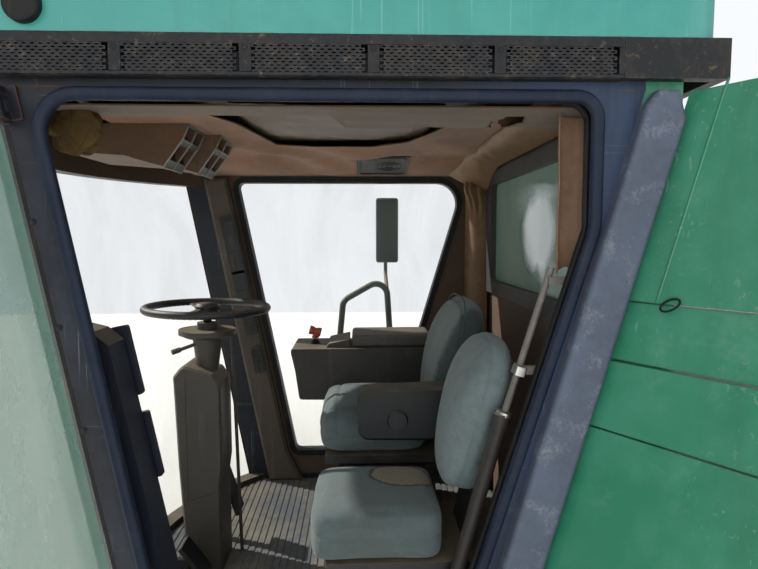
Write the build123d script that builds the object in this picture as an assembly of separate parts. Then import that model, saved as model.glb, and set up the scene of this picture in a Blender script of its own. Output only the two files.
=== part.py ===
from build123d import *
import os
from math import atan, cos, degrees, radians, sin, sqrt

# Operator's cab of a combine harvester, in millimetres.
# Z is up, the front of the machine is -Y, its left side with the door is +X.
# The origin is the centre of the four mounts, on the face that they bolt to.

# Cab frame
HALF_WIDTH = 750          # centre line to the outer face of either side
WALL = 60                 # thickness of a post, sill, rail or side wall
MOUNT_HEIGHT = 60
BEAM_HEIGHT = 90          # floor beams, under the floor
FLOOR_THICK = 30
SILL_RISE = 26            # door sill above the floor
RAIL_BOTTOM = 1629        # top of the door opening
RAIL_HEIGHT = 58
REAR_FACE = 700           # inner face of the rear wall
REAR_THICK = 80

# Slanted lines of the side, given at the driver's eye level
EYE_LEVEL = 1326
FRONT_EDGE = -521         # front edge of the door opening at that level
RAKE = 0.190              # forward lean of the front posts
POST_FACE = 64            # post, from the opening to the windshield's edge
REAR_EDGE = 614           # rear edge of the door opening
KNEE_LEVEL = 1340         # where that edge turns from upright to slanted
REAR_SLANT = 0.310
STRIP_SLANT = 0.285       # of the corner strip, which meets the rear wall at the rail
STRIP_WIDTH = 93
STRIP_PROUD = 34

# Door opening
TOP_FRONT_RADIUS = 90
TOP_REAR_RADIUS = 60
LOW_RADIUS = 70
KNEE_RADIUS = 130
SEAL_WIDTH = 28
SEAL_PROUD = 14
SEAL_ROUND = 11           # of the bulb's outer edges

# Windshield
SHIELD_BULGE = 350        # how far the middle stands in front of the side edges
GLASS = 8
BOND = 6                  # rubber between the glass and the frame
HEADER_DROP = 77          # top edge of the windshield under the door opening's top
FRAME_DEPTH = 60          # curved header and apron behind the glass

# Right window and rear window
RIGHT_DROP = 33           # its top edge under the level of the door opening's top
RIGHT_BOTTOM = 293
RIGHT_FRONT = -481        # front edge at the top
RIGHT_RAKE = 0.200
RIGHT_REAR = 619          # rear edge at the top
RIGHT_REAR_SLANT = 0.300
RIGHT_RADIUS = 50
RIGHT_REAR_RADIUS = 120   # its top rear corner
GASKET = 26
REAR_WINDOW_HALF = 550
REAR_WINDOW_BOTTOM = 1120
REAR_WINDOW_DROP = 65
REAR_FRAME = 40           # above and below the glass
REAR_FRAME_SIDE = 84
REAR_FRAME_PROUD = 24

# Door
DOOR_GAP = 6              # closed door to the bulb of its seal
DOOR_LAP = 2              # glass short of the opening's line, above, below and behind
DOOR_AHEAD = 17           # glass past the opening's front edge
HINGE_OUT = 34            # hinge axis outside the post's face
HINGE_AHEAD = 38          # hinge axis in front of the opening's front edge
HINGE_LEVELS = (330, 1590)
DOOR_OPEN_ANGLE = 100
PIN_RADIUS = 5
KNUCKLE_RADIUS = 13
KNUCKLE_LENGTH = 34
PIN_FIT = 0.1

# Roof
BAND_GAP = 17             # lower edge of the grille band above the door opening
BAND_HEIGHT = 81
BAND_OUT = 30             # outer face of the side grilles outside the posts
BAND_WALL = 26
ROOF_RISE = 210           # roof shell above the band
ROOF_AHEAD = 112          # roof past the windshield's side edges
ROOF_BULGE = 330          # how far its middle stands in front of its sides
ROOF_BEHIND = 80          # roof past the rear wall
ROOF_WALL = 14
TRAY_THICK = 12
TRAY_EDGE = 330           # floor of the roof left round its middle opening
ROOF_ROUND = 70
GRILLE_START = -634
GRILLE_PITCH = 255
GRILLE_PANELS = 5
GRILLE_THICK = 6
SLOTS_PER_PANEL = 11
SLOT_WIDTH = 13
LAMP_PLACES = (-520, -240, 240, 520)
LAMP_HALF = 70

# Rear flanks that flare out from the cab's corners
FLANK_FLARE = 0.635       # rearward run for each unit outwards
FLANK_REACH = 330         # outwards from the cab's side
FLANK_THICK = 26
FLANK_SEAM = 4
FLANK_LEVELS = (206, 917, 1061, 1187, 1629)

# Mounts
MOUNT_X = 520
MOUNT_Y = 450
MOUNT_PLATE = 120
BOLT_RADIUS = 9

# Steering
COLUMN_Y = -418
WHEEL_LEVEL = 1084
WHEEL_RADIUS = 200
RIM_RADIUS = 13
WHEEL_TILT = 1            # degrees, towards the seat
HUB_RADIUS = 41
HUB_HEIGHT = 44
COLLAR_RADIUS = 95
SHAFT_RADIUS = 14
PEDESTAL_TOP = 884
PEDESTAL_FRONT = -518
PEDESTAL_REAR = -362
PEDESTAL_HALF = 78

# Seats
SEAT_X = -25
SEAT_WIDTH = 450
SEAT_FRONT = -36
SEAT_TOP = 768
CUSHION_THICK = 140
CUSHION_DEPTH = 360
BACK_THICK = 120
BACK_LEAN = 12            # degrees
SEAT_BAR_RADIUS = 14
BACK_HEIGHT = 425
GUEST_WIDTH = 315
GUEST_GAP = 40            # second seat to the side wall
GUEST_FRONT = -25
GUEST_TOP = 674
GUEST_THICK = 130
GUEST_DEPTH = 318
GUEST_BACK_HEIGHT = 400
GUEST_BACK_THICK = 95

# Right console
CONSOLE_WIDTH = 255
CONSOLE_GAP = 90          # console to the side wall
CONSOLE_FRONT = -174
CONSOLE_REAR = 400
CONSOLE_BOTTOM = 658
CONSOLE_TOP = 870

MAT_THICK = 8
MAT_RIB = 3
MAT_PITCH = 26
MAT_LAND = 15
TOUCH = 0.3               # play left between curved pieces that seat on each other

# Ceiling
LINER = 16                # padded sheet
LINER_STEP = 22           # its doorway edge under the rail
LINER_GAP = 6             # its top under the roof tray
DOME_GAP = 260            # raised middle, from the left side wall
DOME_RUN = 50             # slope up to it
SOFFIT_START = -360       # where the ceiling starts down to the right window

# Outside, right
RAIL_OUT = 250            # grab rail outside the side wall
RAIL_TUBE = 16
MIRROR_OUT = 400
MIRROR_THICK = 44

beam_top = MOUNT_HEIGHT + BEAM_HEIGHT
floor_top = beam_top + FLOOR_THICK
sill_top = floor_top + SILL_RISE
inner = HALF_WIDTH - WALL
shield_radius = (HALF_WIDTH ** 2 + SHIELD_BULGE ** 2) / (2 * SHIELD_BULGE)
hinge_x = HALF_WIDTH + HINGE_OUT
rail_top = RAIL_BOTTOM + RAIL_HEIGHT
mat_top = floor_top + MAT_THICK
frame_inset = GLASS + BOND
shield_top = RAIL_BOTTOM - HEADER_DROP
right_top = RAIL_BOTTOM - RIGHT_DROP
rear_window_top = RAIL_BOTTOM - REAR_WINDOW_DROP
band_bottom = RAIL_BOTTOM + BAND_GAP
band_top = band_bottom + BAND_HEIGHT
band_plane = HALF_WIDTH + BAND_OUT
roof_top = band_top + ROOF_RISE
roof_front = FRONT_EDGE - RAKE * (band_bottom - EYE_LEVEL) - POST_FACE - ROOF_AHEAD
roof_rear = REAR_FACE + REAR_THICK + ROOF_BEHIND
guest_x = inner - GUEST_GAP - GUEST_WIDTH / 2
console_out = CONSOLE_GAP - inner
console_in = console_out + CONSOLE_WIDTH
liner_high = rail_top - LINER_GAP


def front_y(z):
    """Front edge of the door opening."""
    return FRONT_EDGE - RAKE * (z - EYE_LEVEL)


def rear_y(z):
    """Rear edge of the door opening, upright above the knee."""
    return REAR_EDGE - REAR_SLANT * max(0, KNEE_LEVEL - z)


def strip_y(z):
    """Front edge of the slanted corner strip."""
    return REAR_FACE - STRIP_SLANT * (RAIL_BOTTOM - z)


def window_front_y(z):
    """Front edge of the right window."""
    return RIGHT_FRONT + RIGHT_RAKE * (right_top - z)


def window_rear_y(z):
    """Rear edge of the right window."""
    return RIGHT_REAR - RIGHT_REAR_SLANT * (right_top - z)


def shield_y(z, x, inset=0):
    """Windshield's arc at a level, or a line that lies inset behind it."""
    centre = front_y(z) - POST_FACE - SHIELD_BULGE + shield_radius
    return centre - sqrt((shield_radius - inset) ** 2 - x ** 2)


def block(x0, x1, y0, y1, z0, z1):
    """Box between two corners."""
    middle = Pos((x0 + x1) / 2, (y0 + y1) / 2, (z0 + z1) / 2)
    return middle * Box(abs(x1 - x0), abs(y1 - y0), abs(z1 - z0))


def outline(corners):
    """Flat face on (a, b, corner radius) rows."""
    face = make_face(Polyline(*[(a, b) for a, b, _ in corners], close=True))
    for a, b, radius in corners:
        if radius:
            face = fillet(face.vertices().sort_by_distance((a, b, 0))[0], radius)
    return face


def sharp(points):
    """Rows for outline with no rounded corner."""
    return [(a, b, 0) for a, b in points]


def side_plate(corners, x0, x1):
    """Plate on a (y, z, radius) outline between two X planes."""
    return extrude(Plane.YZ.offset(x0) * outline(corners), amount=x1 - x0)


def front_plate(corners, y0, y1):
    """Plate on an (x, z, radius) outline between two Y planes."""
    plane = Plane(origin=(0, y1, 0), x_dir=(1, 0, 0), z_dir=(0, -1, 0))
    return extrude(plane * outline(corners), amount=y1 - y0)


def floor_plate(corners, z0, z1):
    """Plate on an (x, y, radius) outline between two levels."""
    return extrude(Plane.XY.offset(z0) * outline(corners), amount=z1 - z0)


def tube(points, radius, bend):
    """Round bar along straight runs joined by arcs."""
    path = FilletPolyline(*points, radius=bend) if len(points) > 2 else Line(*points)
    start = Plane(origin=path @ 0, z_dir=path % 0)
    return sweep(start * Circle(radius), path=path)


def mirrored(piece):
    """The same piece on the other side of the cab."""
    return mirror(piece, about=Plane.YZ)


def raked(x0, x1, inset_out, inset_in, z0, z1):
    """Curved bar behind the windshield's face that leans with the front posts."""
    edges = []
    spans = ((x0, x1, inset_out), (x1, x0, inset_in))
    ends = []
    for start, end, inset in spans:
        row = [(x, shield_y(z0, x, inset), z0) for x in (start, (start + end) / 2, end)]
        edges.append(ThreePointArc(*row))
        ends.append((row[0], row[2]))
    edges.append(Line(ends[0][1], ends[1][0]))
    edges.append(Line(ends[1][1], ends[0][0]))
    face = make_face(edges)
    return Solid.extrude(face.face(), Vector(0, RAKE * (z0 - z1), z1 - z0))


# Floor

def cab_mounts():
    foot = extrude(RectangleRounded(MOUNT_PLATE, MOUNT_PLATE, 14), amount=10)
    cone = Pos(0, 0, 10 + (MOUNT_HEIGHT - 18) / 2) * Cone(48, 36, MOUNT_HEIGHT - 18)
    washer = Pos(0, 0, MOUNT_HEIGHT - 4) * Cylinder(44, 8)
    bolt = Pos(0, 0, MOUNT_HEIGHT / 2) * Cylinder(BOLT_RADIUS, MOUNT_HEIGHT + 4)
    one = foot + cone + washer - bolt
    return [Pos(x, y, 0) * one for x in (-MOUNT_X, MOUNT_X) for y in (-MOUNT_Y, MOUNT_Y)]


def floor_rail():
    rail = block(MOUNT_X - 55, MOUNT_X + 55, -MOUNT_Y - 58, REAR_FACE, MOUNT_HEIGHT, beam_top)
    pocket = block(MOUNT_X - 55, MOUNT_X + 20, -MOUNT_Y + 90, REAR_FACE - 160,
                   MOUNT_HEIGHT + 12, beam_top - 12)
    bolts = [Pos(MOUNT_X, y, MOUNT_HEIGHT + 6) * Cylinder(BOLT_RADIUS, 12.2)
             for y in (-MOUNT_Y, MOUNT_Y)]
    return rail - pocket - bolts


def cross_beams():
    half = MOUNT_X - 55
    return [block(-half, half, y, y + 90, MOUNT_HEIGHT + 10, beam_top) for y in (-500, 60, 600)]


def front_apron():
    return raked(-HALF_WIDTH, HALF_WIDTH, 0, FRAME_DEPTH, beam_top, sill_top)


def floor_pan():
    reach = shield_y(beam_top, 0, FRAME_DEPTH) + 4
    plate = block(-inner, inner, reach, REAR_FACE, beam_top, floor_top)
    ahead = raked(-HALF_WIDTH, HALF_WIDTH, -400, FRAME_DEPTH, beam_top - 40, sill_top)
    return plate - ahead


def floor_mat():
    back = REAR_FACE - 14
    half = inner - 14
    front = shield_y(floor_top, 0, FRAME_DEPTH)
    plate = block(-half, half, front, back, floor_top, mat_top - MAT_RIB)
    count = int((back - front) / MAT_PITCH)
    ribs = [block(-half, half, back - (i + 1) * MAT_PITCH, back - (i + 1) * MAT_PITCH + MAT_LAND,
                  mat_top - MAT_RIB, mat_top) for i in range(count)]
    ahead = raked(-HALF_WIDTH, HALF_WIDTH, -400, FRAME_DEPTH + 8, beam_top - 40, sill_top)
    return plate + ribs - ahead


def sill():
    side = block(inner, HALF_WIDTH, -500, REAR_FACE, beam_top, sill_top)
    ahead = raked(-HALF_WIDTH, HALF_WIDTH, -400, FRAME_DEPTH, beam_top - 60, sill_top + 20)
    return side - ahead


# Side frames

def doorway(x0, x1, grow=0):
    """Solid that fills the door opening, or one larger by grow all round."""
    low = sill_top - grow
    high = RAIL_BOTTOM + grow
    corners = [
        (front_y(high) - grow, high, TOP_FRONT_RADIUS + grow),
        (rear_y(high) + grow, high, TOP_REAR_RADIUS + grow),
        (REAR_EDGE + grow, KNEE_LEVEL, KNEE_RADIUS),
        (rear_y(low) + grow, low, LOW_RADIUS + grow),
        (front_y(low) - grow, low, LOW_RADIUS + grow),
    ]
    return side_plate(corners, x0, x1)


def front_post():
    edge = [
        Line((inner, front_y(sill_top), sill_top), (HALF_WIDTH, front_y(sill_top), sill_top)),
        Line((HALF_WIDTH, front_y(sill_top), sill_top),
             (HALF_WIDTH, shield_y(sill_top, HALF_WIDTH, frame_inset), sill_top)),
        ThreePointArc(*[(x, shield_y(sill_top, x, frame_inset), sill_top)
                        for x in (HALF_WIDTH, HALF_WIDTH - WALL / 2, inner)]),
        Line((inner, shield_y(sill_top, inner, frame_inset), sill_top),
             (inner, front_y(sill_top), sill_top)),
    ]
    rise = RAIL_BOTTOM - sill_top
    return Solid.extrude(make_face(edge).face(), Vector(0, -RAKE * rise, rise))


def front_post_left():
    size = TOP_FRONT_RADIUS + 6
    post = front_post()
    for level, inside in ((RAIL_BOTTOM, RAIL_BOTTOM - size), (sill_top, sill_top + size)):
        corner = sharp([(front_y(level), level), (front_y(level) + size, level), (front_y(inside), inside)])
        post += side_plate(corner, inner, HALF_WIDTH) - doorway(inner, HALF_WIDTH)
    return post


def rear_post_left():
    plate = side_plate(sharp([
        (rear_y(sill_top) - 100, sill_top),
        (strip_y(sill_top), sill_top),
        (REAR_FACE, RAIL_BOTTOM),
        (rear_y(RAIL_BOTTOM) - 100, RAIL_BOTTOM),
        (rear_y(RAIL_BOTTOM) - 100, KNEE_LEVEL),
    ]), inner, HALF_WIDTH)
    return plate - doorway(inner, HALF_WIDTH)


def roof_rail():
    ahead = raked(-HALF_WIDTH, HALF_WIDTH, -400, FRAME_DEPTH, RAIL_BOTTOM - 40, rail_top + 20)
    return block(inner, HALF_WIDTH, -800, REAR_FACE, RAIL_BOTTOM, rail_top) - ahead


def front_header():
    return raked(-inner, inner, 0, FRAME_DEPTH, shield_top, RAIL_BOTTOM) + \
        raked(-HALF_WIDTH, HALF_WIDTH, 0, FRAME_DEPTH, RAIL_BOTTOM, rail_top)


def quarter_panel():
    return side_plate(sharp([
        (strip_y(sill_top), sill_top), (REAR_FACE, sill_top), (REAR_FACE, RAIL_BOTTOM),
    ]), inner, HALF_WIDTH)


def rear_wall():
    plate = block(-HALF_WIDTH, HALF_WIDTH, REAR_FACE, REAR_FACE + REAR_THICK, beam_top - 40, rail_top)
    window = front_plate([
        (-REAR_WINDOW_HALF, REAR_WINDOW_BOTTOM, 40), (REAR_WINDOW_HALF, REAR_WINDOW_BOTTOM, 40),
        (REAR_WINDOW_HALF, rear_window_top, 40), (-REAR_WINDOW_HALF, rear_window_top, 40),
    ], REAR_FACE - 1, REAR_FACE + REAR_THICK + 1)
    back = REAR_FACE + REAR_THICK
    dents = [front_plate([(x - 90, 300, 30), (x + 90, 300, 30), (x + 90, 1050, 30), (x - 90, 1050, 30)],
                         back - 12, back + 1) for x in (-480, -160, 160, 480)]
    return plate - window - dents


def corner_strip():
    low = sill_top
    high = RAIL_BOTTOM - 4
    body = side_plate(sharp([
        (strip_y(low), low), (strip_y(low) + STRIP_WIDTH, low),
        (strip_y(high - 60) + STRIP_WIDTH, high - 60), (strip_y(high) + STRIP_WIDTH - 34, high),
        (strip_y(high) + 16, high), (strip_y(high - 30), high - 30),
    ]), HALF_WIDTH, HALF_WIDTH + STRIP_PROUD)
    outer = body.edges().filter_by(Axis.X, reverse=True).group_by(Axis.X)[-1]
    return fillet(outer, 12)


def flank_panels():
    """Panels in a plane that leans with the strip and flares outwards."""
    panels = []
    for i, (low, high) in enumerate(zip(FLANK_LEVELS, FLANK_LEVELS[1:])):
        step = 8 if i == 2 else 0
        z0 = low + FLANK_SEAM / 2
        z1 = high - FLANK_SEAM / 2
        start = HALF_WIDTH
        reach = FLANK_REACH
        front = strip_y(z0) + STRIP_WIDTH + 2 + step
        plan = [
            (start, front), (start + reach, front + FLANK_FLARE * reach),
            (start + reach, front + FLANK_FLARE * reach + FLANK_THICK * 1.18),
            (start, front + FLANK_THICK * 1.18),
        ]
        face = make_face(Polyline(*[(x, y, z0) for x, y in plan], close=True))
        panels.append(Solid.extrude(face.face(), Vector(0, STRIP_SLANT * (z1 - z0), z1 - z0)))
    return panels


# Glass and seals

def windshield():
    return raked(-HALF_WIDTH + 2, HALF_WIDTH - 2, 0, GLASS, sill_top + TOUCH, shield_top - TOUCH)


def windshield_bond():
    """Rubber strips between the glass and the two front posts."""
    side = raked(inner, HALF_WIDTH - 2, GLASS, frame_inset, sill_top, shield_top)
    return [side, mirrored(side)]


def door_seal():
    face = HALF_WIDTH + SEAL_PROUD
    ring = doorway(HALF_WIDTH, face) - doorway(HALF_WIDTH - 1, face + 1, -SEAL_WIDTH)
    ring = fillet(ring.edges().group_by(Axis.X)[-1], SEAL_ROUND)
    lip = doorway(HALF_WIDTH - 24, HALF_WIDTH, -TOUCH) - doorway(HALF_WIDTH - 25, HALF_WIDTH + 1, -12)
    return ring + lip


def right_window_corners(shrink):
    low = RIGHT_BOTTOM + shrink
    high = right_top - shrink
    radius = RIGHT_RADIUS - shrink
    return [
        (window_front_y(high) + shrink, high, radius),
        (window_rear_y(high) - shrink, high, RIGHT_REAR_RADIUS - shrink),
        (window_rear_y(low) - shrink, low, radius),
        (window_front_y(low) + shrink, low, radius),
    ]


def right_gasket():
    ring = side_plate(right_window_corners(TOUCH), -HALF_WIDTH + 8, -inner + 6)
    return ring - side_plate(right_window_corners(GASKET), -HALF_WIDTH, -inner + 10)


def right_glass():
    return side_plate(right_window_corners(GASKET + TOUCH), -HALF_WIDTH + 24, -HALF_WIDTH + 24 + GLASS)


def right_side():
    """Right wall between the front post and the rear wall, with its window."""
    corners = sharp([
        (front_y(sill_top), sill_top), (REAR_FACE, sill_top),
        (REAR_FACE, RAIL_BOTTOM), (front_y(RAIL_BOTTOM), RAIL_BOTTOM),
    ])
    window = side_plate(right_window_corners(0), -HALF_WIDTH - 1, -inner + 1)
    return side_plate(corners, -HALF_WIDTH, -inner) - window


def rear_window_frame():
    half = REAR_WINDOW_HALF
    low = REAR_WINDOW_BOTTOM
    high = rear_window_top
    edge = REAR_FRAME
    side = half + REAR_FRAME_SIDE
    outer = front_plate([(-side, low - edge, 20), (side, low - edge, 20),
                         (side, high + edge, 20), (-side, high + edge, 20)],
                        REAR_FACE - REAR_FRAME_PROUD, REAR_FACE)
    hole = front_plate([(-half + 16, low + 16, 30), (half - 16, low + 16, 30),
                        (half - 16, high - 16, 30), (-half + 16, high - 16, 30)],
                       REAR_FACE - REAR_FRAME_PROUD - 1, REAR_FACE + 1)
    return outer - hole


def rear_glass():
    half = REAR_WINDOW_HALF - TOUCH
    low = REAR_WINDOW_BOTTOM + TOUCH
    high = rear_window_top - TOUCH
    return front_plate([(-half, low, 40), (half, low, 40), (half, high, 40), (-half, high, 40)],
                       REAR_FACE, REAR_FACE + GLASS)


# Door, drawn closed and then swung open about its slanted hinge line

def hinge_plane(z):
    """Frame on the hinge line: x outwards, y along the closed door, z along the line."""
    return Plane(origin=(hinge_x, front_y(z) - HINGE_AHEAD, z), x_dir=(1, 0, 0), z_dir=(0, -RAKE, 1))


def swung(piece):
    """A closed door's piece, in the open rest position."""
    axis = Axis((hinge_x, front_y(0) - HINGE_AHEAD, 0), (0, -RAKE, 1))
    if isinstance(piece, list):
        return [item.rotate(axis, -DOOR_OPEN_ANGLE) for item in piece]
    return piece.rotate(axis, -DOOR_OPEN_ANGLE)


door_in = HALF_WIDTH + SEAL_PROUD + DOOR_GAP
door_out = door_in + GLASS
plate_front = hinge_x - door_out


def door_glass():
    low = sill_top + DOOR_LAP
    high = RAIL_BOTTOM - DOOR_LAP
    corners = [
        (front_y(high) - DOOR_AHEAD, high, TOP_FRONT_RADIUS),
        (rear_y(high) - DOOR_LAP, high, TOP_REAR_RADIUS),
        (REAR_EDGE - DOOR_LAP, KNEE_LEVEL, KNEE_RADIUS),
        (rear_y(low) - DOOR_LAP, low, LOW_RADIUS),
        (front_y(low) - DOOR_AHEAD, low, LOW_RADIUS),
    ]
    return swung(side_plate(corners, door_in, door_out))


def hinge_brackets():
    """Leaf, two knuckles and the pin, fixed to the post."""
    brackets = []
    half = KNUCKLE_LENGTH / 2
    end = 16
    tall = half + 1 + end
    leaf = block(-HINGE_OUT, -HINGE_OUT + 7, -12, 30, -tall, tall)
    pin = Cylinder(PIN_RADIUS, 2 * tall + 6)
    for z in HINGE_LEVELS:
        body = leaf + pin
        for side in (-1, 1):
            middle = side * (half + 1 + end / 2)
            body += Pos(0, 0, middle) * Cylinder(KNUCKLE_RADIUS, end)
            body += Pos(-HINGE_OUT / 2, 0, middle) * Box(HINGE_OUT, 20, end)
        brackets.append(hinge_plane(z) * body)
    return brackets


def hinge_straps():
    """Knuckle and the two plates that clamp the glass."""
    straps = []
    tall = KNUCKLE_LENGTH
    for z in HINGE_LEVELS:
        body = Cylinder(KNUCKLE_RADIUS, tall)
        body += Pos(-plate_front / 2, 50, 0) * Box(plate_front, 100, tall)
        body += Pos(-(plate_front + GLASS + 5) / 2, 16.6, 0) * Box(plate_front + GLASS + 5, 6, tall)
        body += Pos(-plate_front - GLASS - 2.5, 23, 0) * Box(5, 15, tall)
        body -= Cylinder(PIN_RADIUS + PIN_FIT, tall + 2)
        straps.append(swung(hinge_plane(z) * body))
    return straps


def door_handle():
    level = 1000
    edge = rear_y(level) - SEAL_WIDTH - 12
    plate = block(door_out, door_out + 8, edge - 120, edge, level - 60, level + 60)
    grip = block(door_out + 8, door_out + 34, edge - 110, edge - 70, level - 40, level + 40)
    bar = block(door_out + 26, door_out + 38, edge - 110, edge - 10, level - 14, level + 14)
    latch = block(door_in - 26, door_in, edge - 90, edge - 12, level - 34, level + 34)
    return swung([plate + grip + bar, latch])


def door_pull():
    level = 820
    reach = door_in - 44
    path = [(door_in, -120, level), (reach, -120, level), (reach, 260, level), (door_in, 260, level)]
    return swung(tube(path, 11, 30))


def jamb_line(y, z):
    """Point in the plane of the grab rod."""
    return (inner - 18, y, z)


def jamb_rod():
    """Slanted grab rod inside the rear edge of the doorway, thicker at its foot, on short lugs."""
    thin = tube([jamb_line(536, 1255), jamb_line(432, 912)], 8, 1)
    thick = tube([jamb_line(430, 915), jamb_line(280, 360)], 17, 1)
    collar = tube([jamb_line(430, 918), jamb_line(422, 888)], 20, 1)
    lugs = [block(inner - 16, inner, y, rear_y(z) + 12, z - 9, z + 9)
            for y, z in ((526, 1226), (466, 1022), (284, 380))]
    return thin + thick + collar + lugs


# Roof

def roof_face(z, shrink):
    """Roof's plan: straight sides, bulged front."""
    half = band_plane - shrink
    front = roof_front + shrink
    back = roof_rear - shrink
    edges = [
        Line((half, front, z), (half, back, z)),
        Line((half, back, z), (-half, back, z)),
        Line((-half, back, z), (-half, front, z)),
        ThreePointArc((-half, front, z), (0, front - ROOF_BULGE, z), (half, front, z)),
    ]
    return make_face(edges)


def roof_shell():
    body = extrude(roof_face(band_top, 0), amount=ROOF_RISE)
    corners = body.edges().filter_by(Axis.Z).group_by(Axis.Y)[-1]
    body = fillet(corners, ROOF_ROUND + 20)
    top = body.faces().sort_by(Axis.Z)[-1].edges()
    body = fillet(top, ROOF_ROUND)
    hollow = extrude(roof_face(band_top, ROOF_ROUND + 20), amount=ROOF_RISE - ROOF_WALL - 20)
    return body - hollow


def roof_tray():
    """Floor of the roof, on the rails, from band to band."""
    plan = extrude(roof_face(rail_top, BAND_WALL + TOUCH), amount=TRAY_THICK)
    half = HALF_WIDTH - TRAY_EDGE
    return plan - block(-half, half, -560, 600, rail_top - 1, rail_top + 20) - lamp_boxes(TOUCH)


def grille():
    length = GRILLE_PITCH * GRILLE_PANELS
    plate = block(band_plane - GRILLE_THICK, band_plane, GRILLE_START, GRILLE_START + length,
                  band_bottom, band_top)
    step = (GRILLE_PITCH - 50) / SLOTS_PER_PANEL
    slots = []
    for panel in range(GRILLE_PANELS):
        for i in range(SLOTS_PER_PANEL):
            y = GRILLE_START + panel * GRILLE_PITCH + 25 + (i + 0.5) * step
            slots.append(block(band_plane - GRILLE_THICK - 1, band_plane + 1, y - SLOT_WIDTH / 2,
                               y + SLOT_WIDTH / 2, band_bottom + 18, band_top - 18))
    ledge = block(HALF_WIDTH, band_plane - GRILLE_THICK, GRILLE_START, GRILLE_START + length,
                  band_bottom, band_bottom + 6)
    return plate - slots + ledge


def band_ends():
    """Closed bands ahead of and behind the side grilles, and round the front."""
    ring = extrude(roof_face(band_bottom, 0), amount=BAND_HEIGHT)
    ring -= extrude(roof_face(band_bottom - 1, BAND_WALL), amount=BAND_HEIGHT + 2)
    end = GRILLE_START + GRILLE_PITCH * GRILLE_PANELS
    front = ring & block(-band_plane - 1, band_plane + 1, -1400, GRILLE_START - TOUCH,
                         band_bottom, band_top)
    front -= lamp_boxes(TOUCH)
    rear = ring & block(-band_plane - 1, band_plane + 1, end + TOUCH, 1000, band_bottom, band_top)
    return [front, rear]


def lamp_boxes(grow):
    """Four boxes in the roof's front band, the lamps or the holes for them."""
    boxes = []
    for x in LAMP_PLACES:
        front = band_front_y(x)
        box = block(x - LAMP_HALF - grow, x + LAMP_HALF + grow, front - 14 - grow, front + 44 + grow,
                    band_bottom + 12 - grow, band_top - 12 + grow)
        boxes.append(fillet(box.edges().filter_by(Axis.Y), 16))
    return boxes


def work_lamps():
    return lamp_boxes(0)


def band_front_y(x):
    """Front line of the roof at a place across the cab."""
    radius = (band_plane ** 2 + ROOF_BULGE ** 2) / (2 * ROOF_BULGE)
    return roof_front - ROOF_BULGE + radius - sqrt(radius ** 2 - x ** 2)


def side_lamps():
    lamp = Pos(band_plane + 9, -548, band_top + 48) * Rot(0, 90, 0) * Cylinder(36, 18)
    lamp = fillet(lamp.edges().group_by(Axis.X)[-1], 8)
    return [lamp, mirrored(lamp)]


# Ceiling

liner_low = right_top + 4
soffit_slope = (liner_high - LINER - liner_low) / (SOFFIT_START + inner)


def headliner():
    near = RAIL_BOTTOM - LINER_STEP
    high = liner_high
    low = liner_low
    skin = LINER
    start = SOFFIT_START
    edge = inner - DOME_GAP
    end = edge - DOME_RUN
    wall = inner - TOUCH
    profile = sharp([
        (wall, near), (edge, near), (end, high - skin), (start, high - skin), (-wall, low),
        (-wall, low + skin), (start, high), (end - 10, high), (edge - 10, near + skin), (wall, near + skin),
    ])
    sheet = front_plate(profile, -640, REAR_FACE - 1)
    ahead = raked(-HALF_WIDTH, HALF_WIDTH, -500, FRAME_DEPTH + 2, shield_top - 20, rail_top + 20)
    return sheet - ahead


def overhead_console():
    """Housing under the front of the ceiling, with two gabled pods that face the seat."""
    top = liner_high - LINER - TOUCH
    low = shield_top + 10
    body = side_plate(sharp([(-800, top), (-790, low + 22), (-600, low + 8), (-520, top)]), -150, 186)
    for x0, x1, back in ((8, 186, -470), (-176, 4, -416)):
        gable = sharp([(-610, top), (-600, low + 8), (back - 86, low - 6), (back - 20, low - 24),
                       (back + 40, low + 58), (back + 62, top)])
        pod = side_plate(gable, x0, x1)
        middle = (x0 + x1) / 2
        for z0, z1 in ((low - 2, low + 44), (low + 56, top - 8)):
            pod -= block(x0 + 12, middle - 5, back - 50, back + 100, z0, z1)
            pod -= block(middle + 5, x1 - 12, back - 50, back + 100, z0, z1)
        body += pod
    return body


def speaker_grille():
    x = -520
    level = liner_high - LINER - soffit_slope * (SOFFIT_START - x) - TOUCH
    plate = Box(230, 220, 8, align=(Align.CENTER, Align.CENTER, Align.MAX))
    return Pos(x, 202, level) * Rot(0, -degrees(atan(soffit_slope)), 0) * plate


# Right front corner

def corner_post_cover():
    inside = -inner + 46
    low = mat_top
    high = right_top - 10
    body = side_plate(sharp([
        (front_y(low) - 20, low), (window_front_y(low) + 30, low),
        (window_front_y(low + 140) - 10, low + 140),
        (window_front_y(high) - 12, high), (front_y(high) - 24, high),
    ]), -inner, inside)
    return chamfer(body.edges().group_by(Axis.X)[-1].filter_by(Axis.X, reverse=True), 12)


def display_modules():
    """Instruments one above the other on the corner cover: (level, height, width)."""
    modules = []
    for level, tall, wide in ((1290, 260, 62), (1100, 150, 60), (930, 90, 50), (770, 120, 46)):
        y = window_front_y(level) - 44
        body = Pos(-inner + 46 + 17, y, level) * Rot(degrees(atan(RIGHT_RAKE)), 0, 0) * Box(34, wide, tall)
        modules.append(fillet(body.edges().filter_by(Axis.X), 6))
    return modules


# Left front duct

def duct_y(z):
    """Rear edge of the duct beside the left front post."""
    return -460 + 0.198 * (1092 - z)


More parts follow.
